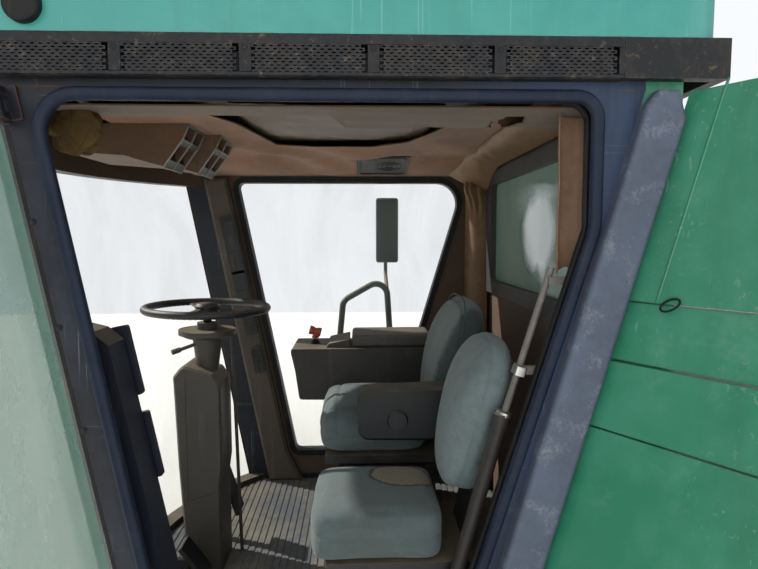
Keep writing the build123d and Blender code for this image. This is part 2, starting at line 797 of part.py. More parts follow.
def duct_post():
    low = mat_top
    body = side_plate(sharp([
        (duct_y(low) - 104, low), (duct_y(low), low), (duct_y(1085), 1085), (duct_y(1115) - 30, 1115),
        (duct_y(1115) - 80, 1128), (duct_y(1100) - 100, 1100),
    ]), inner - 110, inner - 12)
    rear = body.edges().group_by(Axis.X)[0].filter_by(Axis.X, reverse=True)
    ahead = raked(-HALF_WIDTH, HALF_WIDTH, -400, FRAME_DEPTH + TOUCH, beam_top, sill_top)
    return chamfer(rear, 10) - ahead


def duct_vents():
    """Thin louvre paddles on the duct's inner face: (level, height)."""
    vents = []
    for level, tall in ((1028, 172), (820, 166)):
        y = duct_y(level) - 14
        vane = Pos(inner - 110 - 7, y, level) * Rot(degrees(atan(0.198)), 0, 0) * Box(14, 46, tall)
        vents.append(fillet(vane.edges().filter_by(Axis.X), 7))
    return vents


# Steering

def steering_pedestal():
    front = PEDESTAL_FRONT
    rear = PEDESTAL_REAR
    top = PEDESTAL_TOP
    body = side_plate([
        (front + 30, mat_top, 0), (rear - 8, mat_top, 0), (rear - 8, 500, 10), (rear, top - 330, 10),
        (rear, top - 50, 16), (rear - 26, top - 12, 14), (front + 30, top + 18, 20), (front, top - 20, 16),
        (front + 10, 560, 10),
    ], -PEDESTAL_HALF, PEDESTAL_HALF)
    body = chamfer(body.edges().filter_by(Axis.X, reverse=True), 7)
    seam = PEDESTAL_HALF - 2
    panel = side_plate(sharp([(front + 42, 440), (rear - 10, 470), (rear - 10, 474), (front + 42, 444)]),
                       seam, seam + 10)
    groove = block(seam, seam + 10, front + 40, front + 43, 440, top - 30)
    return body - panel - groove


def wheel_plane():
    """Frame at the middle of the steering wheel, z along the shaft."""
    return Plane(origin=(0, COLUMN_Y, WHEEL_LEVEL), x_dir=(1, 0, 0),
                 z_dir=(0, sin(radians(WHEEL_TILT)), cos(radians(WHEEL_TILT))))


def steering_head():
    """Neck and collar under the wheel, the turn lever, and a cable down to the floor."""
    drop = WHEEL_LEVEL - PEDESTAL_TOP
    neck = Pos(0, 0, -drop + 38) * Cone(34, 50, 127)
    flare = Pos(0, 0, -drop + 107) * Cone(72, COLLAR_RADIUS, 12)
    collar = Pos(0, 0, -drop + 120) * Cylinder(COLLAR_RADIUS, 16)
    sleeve = Pos(0, 0, -drop + 139) * Cylinder(34, 26)
    lever = tube([(14, -20, -drop + 84), (58, -86, -drop + 63)], 6, 1)
    end = tube([(52, -77, -drop + 66), (67, -100, -drop + 59)], 9, 1)
    bore = Pos(0, 0, -drop + 136) * Cylinder(SHAFT_RADIUS + PIN_FIT, 52)
    head = wheel_plane() * (neck + flare + collar + sleeve + lever + end - bore) - steering_pedestal()
    start = (-70, COLUMN_Y + 64, WHEEL_LEVEL - 74)
    cable = tube([start, (-62, COLUMN_Y + 74, 700), (-62, COLUMN_Y + 86, mat_top)], 6, 60)
    return head + cable


def steering_wheel():
    """Rim, three spokes, hub and the shaft down into the collar."""
    rim = Torus(WHEEL_RADIUS, RIM_RADIUS)
    hub = Pos(0, 0, -2) * Cylinder(HUB_RADIUS, HUB_HEIGHT)
    hub = fillet(hub.edges().group_by(Axis.Z)[-1], 12)
    shaft = Pos(0, 0, -50) * Cylinder(SHAFT_RADIUS, 60)
    wheel = rim + hub + shaft
    for turn in (90, 210, 330):
        spoke = Pos((WHEEL_RADIUS + HUB_RADIUS - 14) / 2, 0, -3) * Box(WHEEL_RADIUS - HUB_RADIUS + 14, 24, 7)
        wheel += Rot(0, 0, turn) * spoke
    return wheel_plane() * wheel


def pedals():
    """Foot pedals on arms from the floor."""
    built = []
    rows = (      # x, y, level, width, length, lean
        (-150, -380, 370, 90, 160, 18),
        (150, -438, 280, 80, 130, 36),
    )
    for x, y, level, wide, tall, lean in rows:
        pad = Pos(x, y, level) * Rot(lean, 0, 0) * Box(wide, 14, tall)
        arm = Pos(x, y - 18, level) * Rot(lean, 0, 0) * Box(18, 24, 40)
        leg = block(x - 9, x + 9, y - 66, y - 20, mat_top, level)
        built.append(pad + arm + leg)
    return built


# Seats

def soft_block(wide, deep, tall, edge):
    body = Box(wide, deep, tall, align=(Align.CENTER, Align.CENTER, Align.MIN))
    return fillet(body.edges(), edge)


def soft_back(wide, deep, tall, edge):
    """Backrest that is fullest in its lower half and thin at the top."""
    half = deep / 2
    body = side_plate([
        (-half, 0, edge), (half, 0, edge), (half, tall * 0.45, deep), (half * 0.34, tall, edge * 0.7),
        (-half * 0.72, tall, edge * 0.7), (-half, tall * 0.6, deep),
    ], -wide / 2, wide / 2)
    ends = body.edges().group_by(Axis.X)
    return fillet(ends[0] + ends[-1], edge * 0.6)


def leaning(x, y, z, piece):
    """A piece that leans back with a backrest whose foot is at this place."""
    return Pos(x, y, z) * Rot(-BACK_LEAN, 0, 0) * piece


def lean_place(y, z, along, up):
    """Where a point of a leaning backrest lies."""
    angle = radians(BACK_LEAN)
    return y + along * cos(angle) + up * sin(angle), z - along * sin(angle) + up * cos(angle)


seat_bar = (BACK_THICK / 2 + 24, 80)     # bar behind the backrest, from the backrest's foot
seat_back_y = SEAT_FRONT + CUSHION_DEPTH + BACK_THICK / 2 + 5
seat_back_z = SEAT_TOP - 63
guest_back_y = GUEST_FRONT + GUEST_DEPTH + GUEST_BACK_THICK / 2 + 4
guest_back_z = GUEST_TOP + 6


def seat_cushion():
    middle = SEAT_FRONT + CUSHION_DEPTH / 2
    pad = soft_block(SEAT_WIDTH, CUSHION_DEPTH, CUSHION_THICK, 40)
    return Pos(SEAT_X, middle, SEAT_TOP - CUSHION_THICK) * pad


def seat_back():
    pad = soft_back(SEAT_WIDTH - 20, BACK_THICK, BACK_HEIGHT, 42)
    return leaning(SEAT_X, seat_back_y, seat_back_z, pad)


def seat_base():
    pan_top = SEAT_TOP - CUSHION_THICK - TOUCH
    tower = block(SEAT_X - 150, SEAT_X + 150, 30, 350, mat_top, pan_top - 60)
    middle = block(SEAT_X - 120, SEAT_X + 120, 60, 320, pan_top - 60, pan_top - 26)
    pan = block(SEAT_X - 200, SEAT_X + 200, SEAT_FRONT + 24, seat_back_y + 66, pan_top - 26, pan_top)
    spine = leaning(SEAT_X, seat_back_y, seat_back_z,
                    Pos(0, BACK_THICK / 2 + TOUCH + 6, 90) * Box(220, 12, 360))
    bar = leaning(SEAT_X, seat_back_y, seat_back_z,
                  Pos(50, *seat_bar) * Rot(0, 90, 0) * Cylinder(SEAT_BAR_RADIUS, 540))
    return tower + middle + pan + spine + bar


def armrest():
    """Box armrest on the door side of the driver's seat."""
    x0 = SEAT_X + SEAT_WIDTH / 2 + 26
    body = side_plate([(96, 724, 34), (331, 721, 40), (392, 770, 30), (410, 886, 24), (92, 874, 30)],
                      x0, x0 + 84)
    body = chamfer(body.edges().filter_by(Axis.X, reverse=True), 8)
    bar_y, bar_z = lean_place(seat_back_y, seat_back_z, *seat_bar)
    lug = side_plate([(390, 780, 0), (bar_y, bar_z - 28, 20), (bar_y + 28, bar_z, 20),
                      (bar_y, bar_z + 30, 20), (400, 856, 0)], x0 + 4, x0 + 24)
    knob = Pos(x0 + 92, 211, 786) * Rot(0, 90, 0) * Cylinder(27, 16)
    bore = Pos(x0 + 14, bar_y, bar_z) * Rot(0, 90, 0) * Cylinder(SEAT_BAR_RADIUS + TOUCH, 40)
    return body + lug + knob - bore


def guest_cushion():
    middle = GUEST_FRONT + GUEST_DEPTH / 2
    pad = soft_block(GUEST_WIDTH, GUEST_DEPTH, GUEST_THICK, 36)
    return Pos(guest_x, middle, GUEST_TOP - GUEST_THICK) * pad


def guest_back():
    return leaning(guest_x, guest_back_y, guest_back_z,
                   soft_back(GUEST_WIDTH - 10, GUEST_BACK_THICK, GUEST_BACK_HEIGHT, 36))


def guest_base():
    top = GUEST_TOP - GUEST_THICK - TOUCH
    box = block(guest_x - 150, guest_x + 150, 40, 320, mat_top, top - 10)
    pan = block(guest_x - 150, guest_x + 150, 16, guest_back_y + 42, top - 24, top)
    spine = leaning(guest_x, guest_back_y, guest_back_z,
                    Pos(0, GUEST_BACK_THICK / 2 + TOUCH + 6, 110) * Box(200, 12, 500))
    return box + pan + spine


# Right console

def console():
    rear_low = CONSOLE_BOTTOM + 18
    body = side_plate([
        (CONSOLE_FRONT + 28, CONSOLE_BOTTOM + 3, 14), (62, CONSOLE_BOTTOM, 12), (76, rear_low, 12),
        (CONSOLE_REAR, rear_low, 14), (CONSOLE_REAR, CONSOLE_TOP, 10), (CONSOLE_FRONT - 6, CONSOLE_TOP, 8),
        (CONSOLE_FRONT - 4, CONSOLE_TOP - 20, 8), (CONSOLE_FRONT + 11, CONSOLE_TOP - 86, 10),
    ], console_out, console_in)
    leg = block(console_out + 40, console_in - 60, 230, 380, mat_top, rear_low)
    switches = side_plate(sharp([
        (-42, CONSOLE_TOP - 7), (60, CONSOLE_TOP - 7), (60, CONSOLE_TOP + 34), (-26, CONSOLE_TOP + 16),
    ]), console_out + 30, console_in - 30)
    return body + leg + switches


def console_pad():
    pad = block(console_out + 20, console_in - 20, 69, CONSOLE_REAR - 1, CONSOLE_TOP + TOUCH,
                CONSOLE_TOP + 53)
    return fillet(pad.edges(), 14)


def drive_lever():
    """Forward and reverse lever with its shaped knob."""
    x = (console_in + console_out) / 2
    stem = Pos(x, -86, CONSOLE_TOP + 14) * Cylinder(8, 28)
    knob = Pos(x, -88, CONSOLE_TOP + 46) * Rot(20, 0, 0) * Box(46, 54, 52)
    return stem + fillet(knob.edges(), 14)


def corner_trims():
    """Soft covers of the two rear corners inside; the left one laps over the post as well."""
    frame = REAR_WINDOW_HALF + REAR_FRAME_SIDE + 14
    back = REAR_FACE - 4
    right = floor_plate([(-inner, back - 105, 0), (-inner + 20, back - 105, 10), (-frame, back, 0),
                         (-inner, back, 0)], mat_top, liner_low - 23)
    high = RAIL_BOTTOM - LINER_STEP - 8
    left = floor_plate([(inner - 36, back - 60, 14), (inner, back - 60, 0), (inner, back, 0),
                        (inner - 8, back, 0)], mat_top, high)
    lap = floor_plate([(inner - 45, REAR_EDGE - 58, 16), (inner - 4, REAR_EDGE - 58, 10),
                       (inner, REAR_EDGE + 6, 0), (inner, back - 40, 0), (inner - 36, back - 40, 10)],
                      KNEE_LEVEL - 95, high)
    return [right, left + lap]


# Outside, right

def right_mirror():
    """Mirror on the rail's post beside the right window."""
    face = -HALF_WIDTH - MIRROR_OUT
    head = block(face - MIRROR_THICK / 2, face + MIRROR_THICK / 2, 192, 312, 1185, 1533)
    return fillet(head.edges(), 14)


def right_rail():
    """Bent grab rail, with the mirror's post, from brackets on the sill."""
    x = -HALF_WIDTH - RAIL_OUT
    back = -HALF_WIDTH - MIRROR_OUT - MIRROR_THICK / 2
    post_x = back - 28
    rail = tube([(-HALF_WIDTH, -60, 190), (x, -60, 190), (x, 17, 995), (x, 240, 1120), (x, 300, 190),
                 (-HALF_WIDTH, 300, 190)], RAIL_TUBE, 60)
    post = tube([(x, 246, 1040), (post_x, 246, 1120), (post_x, 246, 1420)], 10, 50)
    clamp = block(post_x - 5, back, 230, 262, 1340, 1380)
    return rail + post + clamp


NODES = {}


def pair(piece):
    """A piece and its mirror image."""
    pieces = piece if isinstance(piece, list) else [piece]
    return pieces + [mirrored(item) for item in pieces]


def build_nodes():
    NODES.update({
        "cab_mounts": cab_mounts(),
        "floor_rails": pair(floor_rail()),
        "cross_beams": cross_beams(),
        "floor_pan": floor_pan(),
        "floor_mat": floor_mat(),
        "front_apron": front_apron(),
        "sills": pair(sill()),
        "front_post_left": front_post_left(),
        "front_post_right": mirrored(front_post()),
        "rear_post_left": rear_post_left(),
        "quarter_panel_left": quarter_panel(),
        "roof_rails": pair(roof_rail()),
        "front_header": front_header(),
        "rear_wall": rear_wall(),
        "right_side": right_side(),
        "right_gasket": right_gasket(),
        "right_glass": right_glass(),
        "corner_strips": pair(corner_strip()),
        "flank_panels": pair(flank_panels()),
        "windshield": windshield(),
        "windshield_bond": windshield_bond(),
        "door_seal": door_seal(),
        "rear_window_frame": rear_window_frame(),
        "rear_glass": rear_glass(),
        "door_glass": door_glass(),
        "hinge_brackets": hinge_brackets(),
        "hinge_straps": hinge_straps(),
        "door_handle": door_handle(),
        "door_pull": door_pull(),
        "jamb_rod": jamb_rod(),
        "roof_shell": roof_shell(),
        "roof_tray": roof_tray(),
        "roof_grilles": pair(grille()),
        "roof_bands": band_ends(),
        "work_lamps": work_lamps(),
        "side_lamps": side_lamps(),
        "headliner": headliner(),
        "overhead_console": overhead_console(),
        "speaker_grille": speaker_grille(),
        "corner_post_cover": corner_post_cover(),
        "display_modules": display_modules(),
        "duct_post": duct_post(),
        "duct_vents": duct_vents(),
        "steering_pedestal": steering_pedestal(),
        "steering_head": steering_head(),
        "steering_wheel": steering_wheel(),
        "pedals": pedals(),
        "seat_cushion": seat_cushion(),
        "seat_back": seat_back(),
        "seat_base": seat_base(),
        "armrest": armrest(),
        "guest_cushion": guest_cushion(),
        "guest_back": guest_back(),
        "guest_base": guest_base(),
        "console": console(),
        "console_pad": console_pad(),
        "drive_lever": drive_lever(),
        "corner_trims": corner_trims(),
        "right_mirror": right_mirror(),
        "right_rail": right_rail(),
    })


def write_parts():
    os.makedirs("parts", exist_ok=True)
    for name, shape in NODES.items():
        shapes = shape if isinstance(shape, (list, tuple)) else [shape]
        solids = [solid for item in shapes for solid in item.solids()]
        whole = solids[0] if len(solids) == 1 else Compound(children=solids)
        export_step(whole, f"parts/{name}.step")


build_nodes()
write_parts()
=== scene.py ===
import math
import bmesh
import bpy
import numpy as np
from mathutils import Matrix, Vector


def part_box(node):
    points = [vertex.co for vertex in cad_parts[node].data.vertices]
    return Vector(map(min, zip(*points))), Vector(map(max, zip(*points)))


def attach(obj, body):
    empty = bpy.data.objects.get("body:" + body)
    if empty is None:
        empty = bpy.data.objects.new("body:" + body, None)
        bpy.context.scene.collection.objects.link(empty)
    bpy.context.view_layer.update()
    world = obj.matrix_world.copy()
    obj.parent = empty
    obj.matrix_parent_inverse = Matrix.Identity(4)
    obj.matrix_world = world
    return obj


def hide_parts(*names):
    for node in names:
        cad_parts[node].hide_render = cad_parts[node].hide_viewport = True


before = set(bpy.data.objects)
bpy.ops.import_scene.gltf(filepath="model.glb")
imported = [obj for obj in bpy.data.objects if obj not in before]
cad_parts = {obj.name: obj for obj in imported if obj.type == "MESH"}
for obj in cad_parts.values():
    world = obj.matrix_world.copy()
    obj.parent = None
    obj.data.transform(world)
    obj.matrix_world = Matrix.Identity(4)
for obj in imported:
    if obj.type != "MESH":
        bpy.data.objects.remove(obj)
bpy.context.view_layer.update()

PI = math.pi

# Camera at the photograph's viewpoint, in metres and degrees
CAMERA_PLACE = (1.950, 0.100, 1.326)
CAMERA_YAW = 2.0          # towards the rear, from square across the cab
CAMERA_PITCH = -4.81
CAMERA_ROLL = -0.1
FOCAL_PIXELS = 570.0
IMAGE_WIDTH = 758
SENSOR_WIDTH = 36.0

# Sizes that the cab's source names too, in metres
HALF_WIDTH = 0.750        # centre line to the outer face of a side
RAKE = 0.190              # forward lean of the front posts
EYE_LEVEL = 1.326
REAR_EDGE = 0.614         # doorway's rear edge above the knee
KNEE_LEVEL = 1.340
REAR_SLANT = 0.310        # how far the rear edge runs forward for each metre below the knee
RAIL_LEVEL = 1.629        # top of the doorway
BACK_LEAN = math.radians(12)
BACK_TURN = PI / 2 - BACK_LEAN      # turns a pad that lies flat into a backrest
WHEEL_TILT = math.radians(1)


def corners(node):
    """Lowest and highest corner of a node, as arrays."""
    low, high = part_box(node)
    return np.array(low), np.array(high)


def tone(red, green, blue):
    """Linear colour of an sRGB colour given in 0 to 255."""
    seen = np.array((red, green, blue)) / 255
    linear = np.where(seen <= 0.04045, seen / 12.92, ((seen + 0.055) / 1.055) ** 2.4)
    return (*[float(v) for v in linear], 1.0)


# Shapes: a shape is (points, list of face arrays), worked out as whole arrays

def grid_faces(rows, columns, wrap_rows=False, wrap_columns=False):
    """Quads between the points of a grid that is numbered row by row."""
    row_starts = np.arange(rows - (not wrap_rows))
    column_starts = np.arange(columns - (not wrap_columns))
    i, j = np.meshgrid(row_starts, column_starts, indexing="ij")
    below, beside = (i + 1) % rows, (j + 1) % columns
    quads = (i * columns + j, below * columns + j, below * columns + beside, i * columns + beside)
    return np.stack(quads, -1).reshape(-1, 4)


def grid_shape(points, wrap_rows=False, wrap_columns=False, caps=False):
    """Shape of a (rows, columns, 3) grid; caps closes the first and last row with a fan to its centre."""
    rows, columns = points.shape[:2]
    faces = [grid_faces(rows, columns, wrap_rows, wrap_columns)]
    flat = points.reshape(-1, 3)
    if caps:
        ring = np.arange(columns)
        following = (ring + 1) % columns
        count = len(flat)
        flat = np.concatenate([flat, points[0].mean(0)[None], points[-1].mean(0)[None]])
        faces.append(np.stack([np.full(columns, count), ring, following], -1))
        last = (rows - 1) * columns
        faces.append(np.stack([np.full(columns, count + 1), last + following, last + ring], -1))
    return flat, faces


def join_shapes(shapes):
    """One shape from several."""
    points, faces, start = [], [], 0
    for some_points, some_faces in shapes:
        points.append(some_points)
        faces += [part + start for part in some_faces]
        start += len(some_points)
    return np.concatenate(points), faces


def moved(shape, place=(0, 0, 0), turn=None):
    """A shape turned by a matrix and then moved."""
    points = shape[0] if turn is None else shape[0] @ np.array(turn).T
    return points + np.array(place), shape[1]


def turned(axis, angle):
    """Rotation matrix about X, Y or Z, in radians."""
    return np.array(Matrix.Rotation(angle, 3, axis))


def repeated(shape, places):
    """A copy of a shape at each of the (n, 3) places."""
    points, faces = shape
    places = np.asarray(places, dtype=float).reshape(-1, 3)
    shift = np.arange(len(places))[:, None, None] * len(points)
    return ((points[None] + places[:, None]).reshape(-1, 3),
            [(part[None] + shift).reshape(-1, part.shape[1]) for part in faces])


def lathe(profile, sides=32):
    """Surface of revolution about Z: radius and height pairs turned through equal angles, ends closed."""
    profile = np.asarray(profile, dtype=float)
    angle = np.linspace(0, 2 * PI, sides, endpoint=False)
    ring = np.stack([np.cos(angle), np.sin(angle), np.zeros(sides)], -1)
    points = profile[:, None, :1] * ring[None] + profile[:, None, 1:] * np.array((0, 0, 1.0))
    return grid_shape(points, wrap_columns=True, caps=True)


def tube(path, radius, sides=12, up=(0, 0, 1), closed=False, flat=1.0):
    """Circle carried along a path: each ring stands square to the path, turned by one fixed up direction."""
    path = np.asarray(path, dtype=float)
    if closed:
        along = np.roll(path, -1, 0) - np.roll(path, 1, 0)
    else:
        along = np.gradient(path, axis=0)
    along /= np.linalg.norm(along, axis=1)[:, None]
    across = np.cross(along, np.array(up, dtype=float))
    across /= np.linalg.norm(across, axis=1)[:, None]
    above = np.cross(across, along)
    angle = np.linspace(0, 2 * PI, sides, endpoint=False)
    radius = np.broadcast_to(np.asarray(radius, dtype=float), (len(path),))[:, None, None]
    cosine, sine = np.cos(angle)[None, :, None], np.sin(angle)[None, :, None]
    ring = cosine * across[:, None] + flat * sine * above[:, None]
    return grid_shape(path[:, None] + radius * ring, closed, True, caps=not closed)


def smooth_path(points, steps):
    """Catmull-Rom curve through the points: each stretch is a cubic between two of them."""
    points = np.asarray(points, dtype=float)
    ends = np.concatenate([2 * points[:1] - points[1:2], points, 2 * points[-1:] - points[-2:-1]])
    a, b, c, d = ends[:-3], ends[1:-2], ends[2:-1], ends[3:]
    t = np.linspace(0, 1, steps, endpoint=False)[None, :, None]
    a, b, c, d = (v[:, None] for v in (a, b, c, d))
    square, cube = (2 * a - 5 * b + 4 * c - d) * t ** 2, (3 * b - a - 3 * c + d) * t ** 3
    curve = 0.5 * (2 * b + (c - a) * t + square + cube)
    return np.concatenate([curve.reshape(-1, 3), points[-1:]])


def block(low, high):
    """Box between two corners, as its eight points and six faces."""
    unit = np.array([(x, y, z) for z in (0, 1) for y in (0, 1) for x in (0, 1)], dtype=float)
    faces = np.array([(0, 2, 3, 1), (4, 5, 7, 6), (0, 1, 5, 4), (2, 6, 7, 3), (0, 4, 6, 2), (1, 3, 7, 5)])
    low, high = np.array(low, dtype=float), np.array(high, dtype=float)
    return low + unit * (high - low), [faces]


def rounded_plan(half_x, half_y, radius, steps=5):
    """Rectangle with round corners, counter-clockwise: a quarter circle about each corner's centre."""
    quarter = np.linspace(0, PI / 2, steps)
    start = np.repeat(np.arange(4) * PI / 2, steps)
    angle = start + np.tile(quarter, 4)
    signs = np.repeat(np.array([(1, 1), (-1, 1), (-1, -1), (1, -1)]), steps, axis=0)
    centre = signs * (np.array((half_x, half_y)) - radius)
    return centre + radius * np.stack([np.cos(angle), np.sin(angle)], -1)


def moulding(half_x, half_y, height, corner, edge, steps=4):
    """Box with round corners: its plan shrinks along a quarter circle towards the round upper edge."""
    turn = np.linspace(0, PI / 2, steps)
    rows = [(0, 0)] + [(edge * (1 - math.cos(a)), height - edge * (1 - math.sin(a))) for a in turn]
    rings = []
    for inset, level in rows:
        plan = rounded_plan(half_x - inset, half_y - inset, max(corner - inset, 1e-4))
        rings.append(np.column_stack([plan, np.full(len(plan), level)]))
    return grid_shape(np.array(rings), wrap_columns=True, caps=True)


def ripple(x, y, seed, waves=7):
    """Smooth random field of two parameters: sines of random direction, length and phase, summed."""
    draw = np.random.default_rng(seed)
    total = np.zeros(np.broadcast(x, y).shape)
    for k in range(waves):
        angle, pace, phase = draw.uniform(0, PI), draw.uniform(1, 3 + k), draw.uniform(0, 2 * PI)
        total += np.sin(pace * (x * np.cos(angle) + y * np.sin(angle)) + phase) / (1 + k)
    return total / 2


# Pieces

def put_piece(name, shape, material, body="cab", replaces=(), closed=True, smooth=True):
    """Mesh object of a shape, riding on a body; a closed one has doubles merged and faces outwards."""
    points, faces = shape
    mesh = bpy.data.meshes.new(name)
    mesh.from_pydata(points.tolist(), [], [face for part in faces for face in part.tolist()])
    if closed:
        tidy = bmesh.new()
        tidy.from_mesh(mesh)
        bmesh.ops.remove_doubles(tidy, verts=tidy.verts, dist=1e-6)
        bmesh.ops.recalc_face_normals(tidy, faces=tidy.faces)
        tidy.to_mesh(mesh)
        tidy.free()
    mesh.polygons.foreach_set("use_smooth", np.full(len(mesh.polygons), smooth))
    mesh.materials.append(material)
    piece = bpy.data.objects.new(name, mesh)
    bpy.context.scene.collection.objects.link(piece)
    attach(piece, body)
    if replaces:
        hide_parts(*([replaces] if isinstance(replaces, str) else replaces))
    return piece


def bevelled(piece, width):
    """Edges broken by a live Bevel of one flat each."""
    bevel = piece.modifiers.new("edges", "BEVEL")
    bevel.width = width
    bevel.segments = 1
    bevel.limit_method = "ANGLE"
    bevel.harden_normals = True


def thickened(piece, thickness, offset=-1.0):
    """Wall from a live Solidify."""
    wall = piece.modifiers.new("wall", "SOLIDIFY")
    wall.thickness = thickness
    wall.offset = offset


def subdivided(piece, levels=1):
    """Finer, smoother faces from a live Subdivision Surface."""
    smooth = piece.modifiers.new("smooth", "SUBSURF")
    smooth.levels = levels
    smooth.render_levels = levels


def vertex_values(piece, kind):
    """Places (co) or directions (normal) of a piece's vertices, as an (n, 3) array."""
    values = np.empty(len(piece.data.vertices) * 3, dtype=np.float32)
    piece.data.vertices.foreach_get(kind, values)
    return values.reshape(-1, 3).astype(float)


def set_points(piece, points):
    """Moves a piece's vertices to the points of an (n, 3) array."""
    piece.data.vertices.foreach_set("co", points.astype(np.float32).ravel())
    piece.data.update()


# Shared effects, each a node group that puts out masks or heights

class Nodes:
    """Short ways to add and join nodes in one tree."""

    def __init__(self, tree):
        self.tree = tree

    def add(self, kind, inputs=None, **settings):
        """A new node with its inputs fed and its settings made."""
        node = self.tree.nodes.new(kind)
        for key, value in settings.items():
            setattr(node, key, value)
        for key, value in (inputs or {}).items():
            self.feed(node.inputs[key], value)
        return node

    def feed(self, socket, value):
        """Links a socket to another node's output, or sets it to a plain value."""
        if isinstance(value, bpy.types.NodeSocket):
            self.tree.links.new(value, socket)
        else:
            socket.default_value = value

    def math(self, operation, a, b=0.0, clamp=False):
        """Result of a sum or function of one or two values."""
        node = self.add("ShaderNodeMath", operation=operation, use_clamp=clamp)
        self.feed(node.inputs[0], a)
        self.feed(node.inputs[1], b)
        return node.outputs[0]

    def vector(self, operation, a, b=(0, 0, 0)):
        """Result of a sum or function of one or two places or directions."""
        node = self.add("ShaderNodeVectorMath", operation=operation)
        self.feed(node.inputs[0], a)
        self.feed(node.inputs[1], b)
        return node.outputs["Value" if operation in ("DOT_PRODUCT", "LENGTH") else "Vector"]

    def band(self, value, low, high, to_low=0.0, to_high=1.0):
        """Value carried from low..high to to_low..to_high, held at the ends."""
        node = self.add("ShaderNodeMapRange", {"Value": value, "From Min": low, "From Max": high,
                                               "To Min": to_low, "To Max": to_high})
        return node.outputs["Result"]

    def mix(self, factor, a, b):
        """Colour between a and b."""
        node = self.add("ShaderNodeMix", data_type="RGBA")
        self.feed(node.inputs[0], factor)
        self.feed(node.inputs[6], a)
        self.feed(node.inputs[7], b)
        return node.outputs[2]

    def noise(self, where, scale, detail=4.0, roughness=0.55, distortion=0.0):
        """Clouds whose size goes with 1 / scale, from 0 to 1."""
        node = self.add("ShaderNodeTexNoise", {"Vector": where, "Scale": scale, "Detail": detail,
                                               "Roughness": roughness, "Distortion": distortion})
        return node.outputs["Fac"]

    def place(self):
        """Object coordinates, which are metres in the shared frame."""
        return self.add("ShaderNodeTexCoord").outputs["Object"]

    def normal(self):
        """The face's own normal."""
        return self.add("ShaderNodeNewGeometry").outputs["Normal"]

    def height_at(self, where):
        """Height part of a place."""
        return self.add("ShaderNodeSeparateXYZ", {"Vector": where}).outputs[2]


def effect(name, inputs, outputs, fill):
    """Node group with (name, default) inputs and named outputs, whose sockets fill(nodes, given) returns."""
    tree = bpy.data.node_groups.new(name, "ShaderNodeTree")
    for socket, default in inputs:
        made = tree.interface.new_socket(socket, in_out="INPUT", socket_type="NodeSocketFloat")
        made.default_value = default
    for socket in outputs:
        tree.interface.new_socket(socket, in_out="OUTPUT", socket_type="NodeSocketFloat")
    nodes = Nodes(tree)
    given = nodes.add("NodeGroupInput").outputs
    out = nodes.add("NodeGroupOutput")
    for socket, value in zip(outputs, fill(nodes, given)):
        tree.links.new(value, out.inputs[socket])
    return tree


def fill_grime(nodes, given):
    """Patches: two octaves of noise, cut between Low and High."""
    where = nodes.place()
    broad = nodes.noise(where, given["Scale"], 6.0, 0.6, 0.4)
    fine = nodes.noise(where, nodes.math("MULTIPLY", given["Scale"], 9.0), 3.0)
    both = nodes.math("ADD", nodes.math("MULTIPLY", broad, 0.7), nodes.math("MULTIPLY", fine, 0.3))
    return [nodes.band(both, given["Low"], given["High"])]


def fill_streaks(nodes, given):
    """Runs down a wall: noise squeezed sideways and stretched up and down."""
    squeezed = nodes.vector("MULTIPLY", nodes.place(), (1.0, 1.0, 0.09))
    runs = nodes.noise(squeezed, given["Scale"], 5.0, 0.6, 0.2)
    return [nodes.band(runs, given["Low"], given["High"])]


def fill_scratches(nodes, given):
    """Fine lines in two directions, broken up by a broad noise."""
    where = nodes.place()
    first = nodes.noise(nodes.vector("MULTIPLY", where, (1.0, 1.0, 0.02)), given["Scale"], 2.0, 0.5, 1.5)
    slanted = nodes.add("ShaderNodeMapping", {"Vector": where, "Rotation": (0.4, 0.9, 0.3),
                                              "Scale": (1.0, 0.03, 1.0)})
    second = nodes.noise(slanted.outputs[0], given["Scale"], 2.0, 0.5, 1.0)
    lines = nodes.math("MAXIMUM", nodes.band(first, 0.66, 0.70), nodes.band(second, 0.67, 0.71))
    broken = nodes.band(nodes.noise(where, 3.0, 3.0), 0.45, 0.6)
    return [nodes.math("MULTIPLY", nodes.math("MULTIPLY", lines, broken), given["Amount"])]


def fill_grain(nodes, given):
    """Leathery pebbles: distance to the nearest cell border, with noise."""
    where = nodes.place()
    cells = nodes.add("ShaderNodeTexVoronoi", {"Vector": where, "Scale": given["Scale"]},
                      feature="DISTANCE_TO_EDGE")
    height = nodes.band(cells.outputs["Distance"], 0.0, 0.25)
    dull = nodes.noise(where, nodes.math("MULTIPLY", given["Scale"], 0.35), 3.0)
    return [nodes.math("MULTIPLY", nodes.math("ADD", height, dull), 0.5)]


def fill_edge_wear(nodes, given):
    """Where a rounded normal leaves the true one: close to edges, broken by noise."""
    rounded = nodes.add("ShaderNodeBevel", {"Radius": given["Radius"]}, samples=4)
    match = nodes.vector("DOT_PRODUCT", rounded.outputs[0], nodes.normal())
    near = nodes.band(match, 0.98, 0.80)
    broken = nodes.band(nodes.noise(nodes.place(), given["Break"], 5.0), 0.42, 0.56)
    return [nodes.math("MULTIPLY", near, broken)]


def fill_settled_dust(nodes, given):
    """On faces that look up, more in patches."""
    up = nodes.band(nodes.vector("DOT_PRODUCT", nodes.normal(), (0, 0, 1)), 0.2, 0.95)
    patches = nodes.band(nodes.noise(nodes.place(), given["Scale"], 6.0, 0.65), 0.3, 0.7, 0.35, 1.0)
    return [nodes.math("MULTIPLY", nodes.math("MULTIPLY", up, patches), given["Amount"])]


